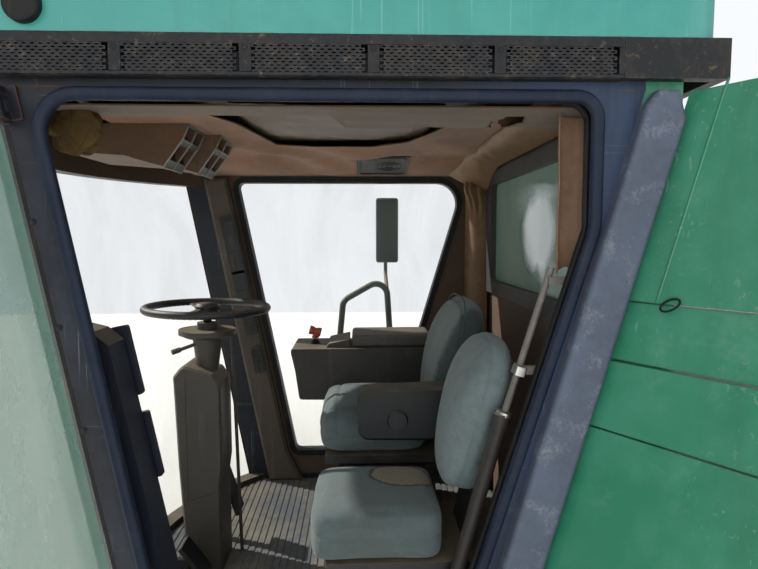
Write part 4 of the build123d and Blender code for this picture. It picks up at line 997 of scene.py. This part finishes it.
def make_right_corner(vinyl):
    """Cover of the right corner: a half sine between side and rear wall, blown out in folds near its top."""
    start_x, start_y, run_x, run_y, rear_limit = -0.684, 0.592, 0.050, 0.094, 0.692
    turn = np.linspace(0, 1, 60)[:, None]
    level = np.linspace(0.190, 1.574, 150)[None, :]
    high = np.clip((level - 1.40) / 0.14, 0, 1)
    bulge = 0.022 + 0.005 * np.sin(level * 7) + 0.070 * high * np.exp(-((level - 1.54) / 0.07) ** 2)
    waves = np.sin(26 * turn - 22 * level + ripple(turn * 3, level * 6, 21))
    out = (bulge + 0.012 * high * waves) * np.sin(PI * turn)
    x = start_x + run_x * turn + 0.75 * out
    y = np.minimum(start_y + run_y * turn - 0.65 * out, rear_limit)
    points = np.stack(np.broadcast_arrays(x, y, level), -1)
    put_sheet("right_corner_vinyl", points, vinyl, "corner_trims")


def make_swag(vinyl):
    """Swag over the rear window: a puffed band that drops and pleats most at the right corner."""
    right_end, length, front, depth, rear_limit, top = -0.672, 1.27, 0.548, 0.128, 0.674, 1.664
    along = np.linspace(0, 1, 120)[:, None]
    down = np.linspace(0, 1, 60)[None, :]
    corner = np.exp(-((along - 0.03) / 0.10) ** 2)
    drop = 0.050 + 0.085 * corner
    puff = np.sin(PI * down ** 0.8) * (0.034 + 0.030 * corner + 0.006 * ripple(along * 12, down * 3, 52))
    waves = np.sin(52 * along + 9 * down + 2 * ripple(along * 9, down * 2, 51))
    pleats = 0.014 * waves * np.exp(-along * 3) * np.sin(PI * down)
    x = right_end + length * along
    y = front + depth * down ** 1.3 - 0.62 * puff + pleats - 0.05 * corner * (1 - down)
    z = top - drop * down ** 1.7 - 0.60 * puff - 0.5 * pleats
    points = np.stack(np.broadcast_arrays(x, np.minimum(y, rear_limit), z), -1)
    put_sheet("ceiling_swag", points, vinyl)


def make_left_post_cover(vinyl):
    """Cover wrapped round the left rear post: a plan carried up and down, dented, with a torn lower end."""
    level = np.linspace(1.246, 1.596, 110)[None, :]
    plan = [(0.686, 0.650, 0), (0.655, 0.640, 0), (0.641, 0.600, 0), (0.643, 0.568, 0), (0.650, 0.555, 0),
            (0.664, 0.552, 0)]
    wrap = smooth_path(plan, 8)
    x, y = wrap[:, :1], wrap[:, 1:2]
    torn_end = 0.012 * ripple(x * 60, y * 60, 9) * np.clip((1.30 - level) / 0.05, 0, 1)
    dents = 0.003 * ripple(y * 30, level * 14, 33)
    points = np.stack(np.broadcast_arrays(x + dents, y - dents, level + torn_end), -1)
    put_sheet("left_post_vinyl", points, vinyl)


# Perforated grilles of the roof band

GRILLE_FACE = 0.780           # centre line to the grille's outer face
GRILLE_START = -0.634
PANEL_PITCH = 0.255
PANELS = 5
GRILLE_END = GRILLE_START + PANEL_PITCH * PANELS
BAR_HALF = 0.012              # half the width of an upright bar
BAR_DEPTH = 0.0065
MESH_THICKNESS = 0.003
HOLE_PITCH = 0.0155
HOLE_ROW = 0.0063
HOLE_HALF = (0.0050, 0.0019)  # half the length and height of a hole


def hole_cell():
    """Rectangle of the grille with an oval hole: eight quads between the rectangle and the oval."""
    around = np.arange(8) * PI / 4
    outer = np.array([(1, 0), (1, 1), (0, 1), (-1, 1), (-1, 0), (-1, -1), (0, -1), (1, -1)]) / 2
    inner = np.stack([np.cos(around), np.sin(around)], -1)
    flat = np.concatenate([outer * (HOLE_PITCH, HOLE_ROW), inner * HOLE_HALF])
    k = np.arange(8)
    quads = np.stack([k, (k + 1) % 8, (k + 1) % 8 + 8, k + 8], -1)
    return np.column_stack([np.zeros(16), flat]), [quads]


def grille_panel(start, low, high):
    """Rows of holes, each second row half a pitch along, between two bars."""
    margin = BAR_HALF + 0.001
    rows = int((high - low) / HOLE_ROW)
    count = int((PANEL_PITCH - 2 * margin) / HOLE_PITCH)
    row, column = np.meshgrid(np.arange(rows), np.arange(count), indexing="ij")
    y = start + margin + (column + 0.5 + 0.5 * (row % 2)) * HOLE_PITCH
    z = low + (row + 0.5) * HOLE_ROW
    places = np.stack([np.zeros(y.size), y.ravel(), z.ravel()], -1)
    return repeated(hole_cell(), places)


def on_side(shape, side, inset=0.0):
    """A grille's shape put against the left (1) or, mirrored, the right (-1) face of the band."""
    points, faces = shape
    return (points - (inset, 0, 0)) * (side, 1, 1) + (side * GRILLE_FACE, 0, 0), faces


def grille_bars(bottom, top, first, last):
    """Frame of a grille: a lower and an upper bar, uprights between panels, and a ledge inside."""
    ledge_depth = 0.034
    bars = [block((-BAR_DEPTH, GRILLE_START, last - 0.004), (0, GRILLE_END, top)),
            block((-BAR_DEPTH, GRILLE_START, bottom), (0, GRILLE_END, first + 0.003))]
    for k in range(PANELS + 1):
        middle = GRILLE_START + PANEL_PITCH * k
        front, rear = max(middle - BAR_HALF, GRILLE_START), min(middle + BAR_HALF, GRILLE_END)
        bars.append(block((-BAR_DEPTH, front, first + 0.0032), (0.0006, rear, last - 0.0042)))
    bars.append(block((-ledge_depth, GRILLE_START, bottom - 0.001), (-BAR_DEPTH, GRILLE_END, bottom + 0.005)))
    return join_shapes(bars)


def make_grilles(plastic, dark):
    """Perforated panels of both sides with the bars between them, and a screw in each inner bar."""
    low, high = corners("roof_grilles")
    bottom, top = low[2], high[2]
    first, last = bottom + 0.004, top - 0.016
    mesh = join_shapes([grille_panel(GRILLE_START + PANEL_PITCH * k, first, last) for k in range(PANELS)])
    bars = grille_bars(bottom, top, first, last)
    head = [(0.0075, 0), (0.0075, 0.002), (0.006, 0.0035), (0.003, 0.0035), (0.003, 0.0015)]
    screw = moved(lathe(head, 16), turn=turned("Y", PI / 2))
    places = [(0, GRILLE_START + PANEL_PITCH * k, top - 0.028) for k in range(1, PANELS)]
    screws = join_shapes([moved(screw, place) for place in places])
    for side, name in ((1, "left"), (-1, "right")):
        sheet = put_piece(f"{name}_grille_mesh", on_side(mesh, side, 0.002), plastic,
                          replaces="roof_grilles" if side == 1 else (), smooth=False)
        thickened(sheet, MESH_THICKNESS, 0.0)
        bar_piece = put_piece(f"{name}_grille_bars", on_side(bars, side), plastic, smooth=False)
        bevelled(bar_piece, 0.0012)
        put_piece(f"{name}_grille_screws", on_side(screws, side, 0.0025), dark, smooth=False)


# Steering wheel

WHEEL_PLACE = (0, -0.418, 1.084)
RIM_REACH = 0.200             # hub to the middle of the rim's section
RIM_RADIUS = 0.0130
RIM_RIDGES = 72


def wheel_rim():
    """Torus whose section shrinks a little between finger ridges on its underside."""
    turn = np.linspace(0, 2 * PI, 216, endpoint=False)[:, None]
    section = np.linspace(0, 2 * PI, 20, endpoint=False)[None, :]
    under = np.clip(-np.sin(section), 0, 1)
    size = RIM_RADIUS * (1 - 0.13 * under * np.abs(np.sin(turn * RIM_RIDGES / 2)) ** 3)
    reach = RIM_REACH + size * np.cos(section)
    points = np.stack([reach * np.cos(turn), reach * np.sin(turn), size * np.sin(section)], -1)
    return grid_shape(points, wrap_rows=True, wrap_columns=True)


def wheel_spoke(angle):
    """Flat spoke from the hub to the rim, dished and waisted by the same half sine."""
    run = np.linspace(0, 1, 14)
    hub_reach, length, dish, wide, waist = 0.034, 0.160, 0.010, 0.017, 0.006
    reach = hub_reach + run * length
    sink = -dish * np.sin(PI * run) ** 0.5
    width = wide - waist * np.sin(PI * run)
    return tube(np.stack([reach * np.cos(angle), reach * np.sin(angle), sink], -1), width, 16, flat=0.28)


def make_steering_wheel(plastic):
    """Rim with finger ridges, three dished spokes and a hub with a raised cap, tilted towards the seat."""
    wheel = join_shapes([wheel_rim(), *[wheel_spoke(angle) for angle in np.radians((90, 210, 330))]])
    hub = lathe([(0.014, -0.079), (0.014, -0.028), (0.034, -0.024), (0.040, -0.020), (0.040, 0.002),
                 (0.043, 0.004), (0.043, 0.008), (0.038, 0.011), (0.0375, 0.0155), (0.034, 0.017),
                 (0.008, 0.017)], 40)
    tilt = turned("X", -WHEEL_TILT)
    wheel, hub = moved(wheel, WHEEL_PLACE, tilt), moved(hub, WHEEL_PLACE, tilt)
    put_piece("wheel_rim_and_spokes", wheel, plastic, "steering_wheel", "steering_wheel")
    put_piece("wheel_hub", hub, plastic, "steering_wheel")


# Console, displays and small parts

def make_lever(handle, chrome, gaiter):
    """T handle on a chrome stem that stands in a ribbed boot on the console."""
    low, high = corners("drive_lever")
    x, y = (low[0] + high[0]) / 2, -0.088
    grip_half, grip_radius, grip_drop = 0.024, 0.0190, 0.022
    across = np.linspace(-1, 1, 24)
    path = np.stack([x + 0 * across, y + grip_half * across, high[2] - grip_drop - 0.006 * across], -1)
    grip = tube(path, grip_radius - 0.005 * (1 - np.abs(across)) ** 2, 18, up=(1, 0, 0.1))
    neck = moved(lathe([(0.016, 0.0), (0.011, 0.016), (0.012, 0.034)], 20), (x, y, high[2] - 0.050))
    put_piece("lever_handle", join_shapes([grip, neck]), handle, replaces="drive_lever")
    stem = lathe([(0.006, 0), (0.006, 0.052)], 16)
    put_piece("lever_stem", moved(stem, (x, y + 0.002, low[2] + 0.001)), chrome)
    boot_height, boot_radius, rib, ribs = 0.018, 0.020, 0.0022, 1400
    height = np.linspace(0, boot_height, 24)
    radius = boot_radius - height * 0.5 + rib * np.sin(height * ribs)
    boot = lathe(np.stack([radius, height], -1), 28)
    put_piece("lever_boot", moved(boot, (x, y, low[2] + 0.0005)), gaiter)


def make_strut_clips(steel):
    """Square clamp and rod end where the thin rod meets the strut's tube."""
    strut_run, strut_drop = 0.104, 0.343
    lean = turned("X", -math.atan2(strut_run, strut_drop))
    clamp = moved(moulding(0.019, 0.012, 0.022, 0.003, 0.002), turn=lean)
    rod_end = moved(lathe([(0.012, 0), (0.020, 0.001), (0.020, 0.010), (0.012, 0.013)], 24), turn=lean)
    clips = join_shapes([moved(clamp, (0.676, 0.462, 1.010)), moved(rod_end, (0.672, 0.432, 0.912))])
    put_piece("strut_clips", clips, steel, smooth=False)


def make_inner_lip(rubber):
    """Second, darker lip of the door seal: a tube along the doorway's rear edge, round its upper corner."""
    x, round_knee, inset, radius = 0.700, 0.05, 0.014, 0.0085
    levels = np.array((1.560, KNEE_LEVEL + round_knee, KNEE_LEVEL, KNEE_LEVEL - round_knee, 0.240))
    edge = REAR_EDGE - REAR_SLANT * np.clip(KNEE_LEVEL - levels, 0, None) - inset
    corner = [(x, edge[0] - 0.075, 1.6185), (x, edge[0] - 0.030, 1.612), (x, edge[0] - 0.006, 1.590)]
    path = smooth_path(corner + [(x, y, z) for y, z in zip(edge, levels)], 6)
    put_piece("inner_seal_lip", tube(path, radius, 14, up=(1, 0, 0)), rubber)


def make_armrest_knob(plastic):
    """Turned knob on the armrest's side: a rim, a groove and a domed grip."""
    outer_face = corners("armrest")[1][0]
    profile = [(0.031, -0.004), (0.031, 0.003), (0.028, 0.006), (0.025, 0.006), (0.023, 0.002),
               (0.019, 0.002), (0.018, 0.010), (0.015, 0.013), (0.006, 0.015)]
    knob = moved(lathe(profile, 40), (outer_face - 0.0155, 0.211, 0.786), turned("Y", PI / 2))
    put_piece("armrest_knob", knob, plastic)


# Overhead pods: each has its two x and the y of its front. The foot, knee and top of that front have a y
# from there and a z. A pocket has its lower and upper z, and the y and slope of the front beside it.
PODS = ((0.008, 0.186, -0.470), (-0.176, 0.004, -0.416))
POD_FOOT = 1.538
POD_FRONT = ((-0.020, POD_FOOT), (0.040, 1.620), (0.060, 1.660))
POCKETS = ((1.562, 1.604, -0.0200, 0.732), (1.620, 1.655, -0.0179, 0.492))


def make_console_trim(trim, dark):
    """Overhead console: pale edging on each pod's ends, middle and knee, and dark liners in its pockets."""
    radius, off = 0.0030, 0.001
    rails, liners = [], []
    for x0, x1, edge in PODS:
        middle = (x0 + x1) / 2
        front = [(edge + y + off, z - off) for y, z in POD_FRONT]
        for x in (x0 + radius, middle, x1 - radius):
            rails.append(tube([(x, y, z) for y, z in front], radius, 8, up=(1, 0, 0)))
        for y, z in front[:2]:
            rails.append(tube([(x0, y, z), (x1, y, z)], radius, 8))
        for left, right in ((x0 + 0.012, middle - 0.005), (middle + 0.005, x1 - 0.012)):
            for bottom, top, start, slope in POCKETS:
                y = edge + start + slope * (bottom - POD_FOOT) - 0.010
                liners.append(block((left, y, bottom), (right, y + 0.004, top)))
    put_piece("console_edging", join_shapes(rails), trim)
    put_piece("console_pocket_liners", join_shapes(liners), dark, smooth=False)


MODULES = ((1.290, 0.260, 0.062), (1.100, 0.150, 0.060), (0.930, 0.090, 0.050), (0.770, 0.120, 0.046))
MODULE_FACE = -0.6105         # x of the displays' faces; each module above is a level, a height and a width
MODULE_SLOPE = 0.200          # lean of the post that they sit on
MODULE_TOP = (-0.525, 1.596)  # y and z where their middle line starts


def make_screens(glass, trim):
    """Displays on the right front post: a dark window and two columns of keys on each module."""
    key_half, row_pitch = 0.005, 0.04
    windows, keys = [], []
    turn = turned("X", math.atan(MODULE_SLOPE))
    for level, tall, wide in MODULES:
        place = (MODULE_FACE, MODULE_TOP[0] + MODULE_SLOPE * (MODULE_TOP[1] - level), level)
        window = block((0, -wide * 0.36, -tall * 0.10), (0.003, wide * 0.36, tall * 0.40))
        windows.append(moved(window, place, turn))
        key = block((0, -wide * 0.13, -key_half), (0.004, wide * 0.13, key_half))
        rows = np.linspace(-tall * 0.40, -tall * 0.17, max(2, int(tall / row_pitch)))
        spots = [(0, side * wide * 0.2, row) for row in rows for side in (-1, 1)]
        keys.append(moved(repeated(key, spots), place, turn))
    put_piece("display_windows", join_shapes(windows), glass, smooth=False)
    put_piece("display_keys", join_shapes(keys), trim, smooth=False)


def make_speaker(trim, dark):
    """Rim, slots and cone rings on the speaker plate, which lies along the curtain."""
    rim_radius, ring_radius, cone_y = 0.0028, 0.0018, 0.028
    low, high = corners("speaker_grille")
    plate_rise, plate_run, under = 0.0463, 0.2272, 0.0045
    turn = turned("Y", -math.atan2(plate_rise, plate_run))
    middle = (low + high) / 2 - (0, 0, under)
    plan = rounded_plan(half_x=0.104, half_y=0.098, radius=0.014)
    rings = [tube(np.column_stack([plan, np.zeros(len(plan))]), rim_radius, 8, closed=True)]
    angle = np.linspace(0, 2 * PI, 40, endpoint=False)
    for radius in (0.018, 0.036, 0.054):
        ring = np.stack([radius * np.cos(angle), cone_y + radius * np.sin(angle), 0 * angle], -1)
        rings.append(tube(ring, ring_radius, 8, closed=True))
    put_piece("speaker_rings", moved(join_shapes(rings), middle, turn), trim)
    # painted shade: the slots are near-black strips standing for the dark slot openings
    slot = block((-0.080, -0.003, -0.001), (0.080, 0.003, 0.001))
    first, last, pitch = -0.080, -0.035, 0.011
    slots = repeated(slot, [(0, y, 0) for y in np.arange(first, last, pitch)])
    put_piece("speaker_slots", moved(slots, middle, turn), dark, smooth=False)


FLANK_EDGE = 0.795            # y of the left flank panel's plane at the rail and the side's face
FLANK_SLANT = 0.285           # how far it runs forward for each metre down
FLANK_FLARE = 0.635           # how far it runs back for each metre outwards
FLANK_OUT = (0.536, -0.844)   # x and y of the way that it faces


def on_flank(x, z, lift=0.0):
    """Points of the left flank panel's plane at x and z, lifted off it."""
    y = FLANK_EDGE - FLANK_SLANT * (RAIL_LEVEL - z) + FLANK_FLARE * (x - HALF_WIDTH)
    return np.stack([x + FLANK_OUT[0] * lift, y + FLANK_OUT[1] * lift, z], -1)


def make_flank_fittings(paint, wire):
    """Pressed bead and wire latch on the left flank panel."""
    bead_x, latch_x, latch_level = 0.811, 0.837, 1.188
    levels = np.linspace(1.640, 1.190, 24)
    bead = tube(on_flank(bead_x + 0 * levels, levels), 0.0030, 8, up=(1, 0, 0))
    put_piece("flank_bead", bead, paint)
    angle = np.linspace(0, 2 * PI, 24, endpoint=False)
    level = latch_level + 0.012 * np.sin(angle) + 0.006 * np.cos(angle)
    loop = on_flank(latch_x + 0.015 * np.cos(angle), level, lift=0.005)
    put_piece("flank_latch", tube(loop, 0.0022, 8, closed=True), wire)


def make_screws(steel):
    """Round-headed screws down the left front post, whose edge leans with the rake."""
    head = [(0.0065, 0), (0.0065, 0.0012), (0.0045, 0.0030), (0.0015, 0.0036)]
    screw = moved(lathe(head, 14), turn=turned("Y", PI / 2))
    levels, row_y = (1.560, 1.357, 1.137, 0.918, 0.560), -0.562
    screws = [moved(screw, (HALF_WIDTH, row_y - RAKE * (level - EYE_LEVEL), level)) for level in levels]
    put_piece("post_screws", join_shapes(screws), steel, smooth=False)


# CAD nodes' materials

def dress(finishes):
    """Gives each CAD node its finish."""
    for node, material in finishes.items():
        for slot in bpy.data.objects[node].material_slots:
            slot.material = material


# Stage

def make_camera():
    """Camera from yaw, pitch and roll: right, up and backward vectors are its matrix's columns."""
    yaw, pitch, roll = (math.radians(a) for a in (CAMERA_YAW, CAMERA_PITCH, CAMERA_ROLL))
    forward = Vector((-math.cos(yaw) * math.cos(pitch), math.sin(yaw) * math.cos(pitch), math.sin(pitch)))
    right = forward.cross(Vector((0, 0, 1))).normalized()
    up = right.cross(forward)
    turned_right = right * math.cos(roll) + up * math.sin(roll)
    turned_up = up * math.cos(roll) - right * math.sin(roll)
    data = bpy.data.cameras.new("camera")
    data.sensor_width = SENSOR_WIDTH
    data.lens = SENSOR_WIDTH * FOCAL_PIXELS / IMAGE_WIDTH
    data.clip_start = 0.01
    camera = bpy.data.objects.new("camera", data)
    axes = Matrix((turned_right, turned_up, -forward)).transposed().to_4x4()
    camera.matrix_world = Matrix.Translation(CAMERA_PLACE) @ axes
    bpy.context.scene.collection.objects.link(camera)
    bpy.context.scene.camera = camera


def soft_lamp(name, place, target, power):
    """Square lamp, 3 m each way, that looks at a target."""
    lamp = bpy.data.lights.new(name, "AREA")
    lamp.size = 3.0
    lamp.energy = power
    light = bpy.data.objects.new(name, lamp)
    look = (Vector(target) - Vector(place)).to_track_quat("-Z", "Y")
    light.matrix_world = Matrix.Translation(place) @ look.to_matrix().to_4x4()
    bpy.context.scene.collection.objects.link(light)


def make_light():
    """World that the camera sees as white, also through glass, a sun from front right, and soft lamps."""
    object_strength, background_strength = 0.50, 1.0
    to_sun = Vector((-0.35, -0.85, 0.71))
    world = bpy.data.worlds.new("studio")
    world.use_nodes = True
    nodes = Nodes(world.node_tree)
    background = world.node_tree.nodes["Background"]
    path = nodes.add("ShaderNodeLightPath").outputs
    seen = nodes.math("MAXIMUM", path["Is Camera Ray"], path["Is Transmission Ray"])
    nodes.feed(background.inputs["Color"], (0.95, 0.97, 1.0, 1.0))
    nodes.feed(background.inputs["Strength"], nodes.band(seen, 0, 1, object_strength, background_strength))
    bpy.context.scene.world = world
    lamp = bpy.data.lights.new("sun", "SUN")
    lamp.energy = 6.0
    lamp.angle = 0.02
    lamp.color = (1.0, 0.96, 0.88)
    sun = bpy.data.objects.new("sun", lamp)
    sun.matrix_world = to_sun.to_track_quat("Z", "Y").to_matrix().to_4x4()
    bpy.context.scene.collection.objects.link(sun)
    soft_lamp("soft_front", (4.6, 0.2, 1.9), (0.6, 0.0, 1.1), 48)
    soft_lamp("soft_left", (4.0, -2.6, 3.2), (0.5, 0.0, 1.1), 40)
    soft_lamp("soft_rear", (2.6, 3.8, 2.6), (0.5, 0.2, 1.1), 40)


def make_floor():
    """Pale studio floor."""
    reach = 8
    mesh = bpy.data.meshes.new("floor")
    mesh.from_pydata([(-reach, -reach, 0), (reach, -reach, 0), (reach, reach, 0), (-reach, reach, 0)], [],
                     [(0, 1, 2, 3)])
    pale = Finish("studio floor", tone(232, 232, 230), 0.8)
    mesh.materials.append(pale.done())
    floor = bpy.data.objects.new("floor", mesh)
    bpy.context.scene.collection.objects.link(floor)


# Materials

ROOF = roof_finish()
GREEN = green_finish()
POST = post_finish()
BLACK = black_finish()
BAND = band_finish()
STRIP = strip_finish()
SEAL = rubber_finish("door seal rubber", tone(20, 30, 48), 1.5, 0.15)
GASKET = rubber_finish("black gasket rubber", tone(20, 20, 22))
GLASS = window_finish("window glass", tone(150, 172, 160), 0.05, 0.6)
REAR_GLASS = window_finish("rear window glass", tone(122, 156, 146), 0.45, 0.93, 0.5,
                           patch=((0.03, 0.704, 1.345), (0.19, 0.30, 0.15)))
# door pane: its green is partly tint and partly a painted reflection of a green painted wall
DOOR_GLASS_AND_REFLECTION = window_finish("door glass with painted reflection", tone(98, 148, 136), 0.55, 0.80, 0.45)
SHIELD_GLASS = window_finish("windshield glass", tone(156, 176, 168), 0.05, 0.6)
VINYL = vinyl_finish("corner vinyl", tone(126, 98, 70), pale=tone(150, 120, 86))
BROWN_VINYL = vinyl_finish("brown post vinyl", tone(136, 106, 84))
DARK_VINYL = vinyl_finish("armrest vinyl", tone(17, 20, 24), 640.0)
PAD_VINYL = vinyl_finish("console pad vinyl", tone(62, 62, 60))
LINER = liner_finish("ceiling cloth", tone(122, 76, 34))
FELT = liner_finish("dusty ceiling felt", tone(84, 62, 34))
BOARD = vinyl_finish("ceiling board", tone(80, 64, 44), 200.0)
# near-black painted shade: the roof space over the ceiling board, and the speaker's slot openings
SHADE_BLACK = vinyl_finish("painted shade of roof space", tone(14, 13, 13), 200.0)
FOAM = foam_finish()
TWEED = seat_finish("seat tweed")
# driver's backrest: faces looking along +x, towards the doorway, carry painted shade
SHADED_SIDE_TWEED = seat_finish("driver backrest tweed with painted shade side", tone(112, 128, 128), side=(1, 0, 0))
BACK_TWEED = seat_finish("second backrest tweed", tone(116, 132, 134))
WORN_TWEED = seat_finish("worn seat tweed", worn=((0.436, 0.212, 0.680), (0.076, 0.086, 0.300)))
PIPING = rubber_finish("seat piping", tone(60, 72, 74))
OVERHEAD = plastic_finish("overhead console plastic", tone(86, 64, 46), 0.6, grey=(0, 1, 0))
DISPLAY = plastic_finish("display plastic", tone(26, 28, 30), 0.4)
CONSOLE = plastic_finish("console plastic", tone(50, 48, 46), 0.5)
CORNER = plastic_finish("corner cover plastic", tone(74, 66, 58), 0.6)
COLUMN = plastic_finish("column plastic", tone(58, 54, 49), 0.5)
WHEEL = plastic_finish("wheel plastic", tone(24, 26, 32), 0.38, dusty=0.45)
LEVER = plastic_finish("red lever plastic", tone(150, 62, 44), 0.35)
DUCT = plastic_finish("duct plastic", tone(20, 26, 40), 0.5)
PEDAL = rubber_finish("pedal rubber", tone(30, 30, 32))
MAT = mat_finish()
STEEL = steel_finish()
PALE_TRIM = plastic_finish("pale trim", tone(128, 128, 122), 0.35, dusty=0.3)
SCREEN = plastic_finish("display window", tone(12, 13, 15), 0.12, dusty=0.3)
STRUT = plastic_finish("strut paint", tone(50, 46, 44), 0.4, split=(0.918, tone(118, 112, 108)))
FRAME = plastic_finish("rear window frame plastic", tone(62, 62, 62), 0.45)
WALL_PAINT = post_finish("right side paint", (1, 0, 0))
LEFT_POST = post_finish("rear post paint", (-1, 0, 0))
HEADER = post_finish("header paint", (0, 1, 0))
REAR_WALL = green_finish("rear wall paint", (0, -1, 0))
LEFT_QUARTER = green_finish("quarter panel paint", (-1, 0, 0))
LENS = lens_finish()

# The whole cab: the CAD nodes' finishes, then the pieces, then the stage

dress({
    "cab_mounts": PEDAL, "floor_rails": BLACK, "cross_beams": BLACK, "floor_pan": BLACK, "floor_mat": MAT,
    "front_apron": BLACK, "sills": POST, "front_post_left": POST, "front_post_right": POST,
    "rear_post_left": LEFT_POST, "quarter_panel_left": LEFT_QUARTER, "roof_rails": POST,
    "front_header": HEADER, "rear_wall": REAR_WALL, "right_side": WALL_PAINT,
    "right_gasket": GASKET, "right_glass": GLASS, "corner_strips": STRIP, "flank_panels": GREEN,
    "windshield": SHIELD_GLASS, "windshield_bond": GASKET, "door_seal": SEAL, "rear_window_frame": FRAME,
    "rear_glass": REAR_GLASS, "door_glass": DOOR_GLASS_AND_REFLECTION, "hinge_brackets": POST, "hinge_straps": POST,
    "door_handle": DISPLAY, "door_pull": DISPLAY, "jamb_rod": STRUT, "roof_shell": ROOF, "roof_tray": BAND,
    "roof_bands": BAND, "work_lamps": LENS, "side_lamps": GASKET, "overhead_console": OVERHEAD,
    "speaker_grille": GASKET, "corner_post_cover": CORNER, "display_modules": DISPLAY, "duct_post": DUCT,
    "duct_vents": DUCT, "steering_pedestal": COLUMN, "steering_head": COLUMN, "pedals": PEDAL,
    "seat_base": BLACK, "armrest": DARK_VINYL, "guest_base": BLACK, "console": CONSOLE,
    "console_pad": PAD_VINYL, "right_mirror": DISPLAY, "right_rail": BLACK,
})
make_driver_seat(TWEED, SHADED_SIDE_TWEED, PIPING)
make_second_seat(WORN_TWEED, BACK_TWEED)
make_near_strip(FELT)
make_far_curtain(LINER)
make_ceiling_board(BOARD, SHADE_BLACK)
make_torn_foam(FOAM)
make_right_corner(VINYL)
make_swag(VINYL)
make_left_post_cover(BROWN_VINYL)
make_grilles(BAND, GASKET)
make_strut_clips(STEEL)
make_inner_lip(GASKET)
make_armrest_knob(SCREEN)
make_console_trim(PALE_TRIM, GASKET)
make_screens(SCREEN, CONSOLE)
make_speaker(GASKET, SHADE_BLACK)
make_flank_fittings(GREEN, GASKET)
make_steering_wheel(WHEEL)
make_lever(LEVER, STEEL, GASKET)
make_screws(GASKET)
make_camera()
make_light()
make_floor()
bpy.context.scene.view_settings.view_transform = "Standard"
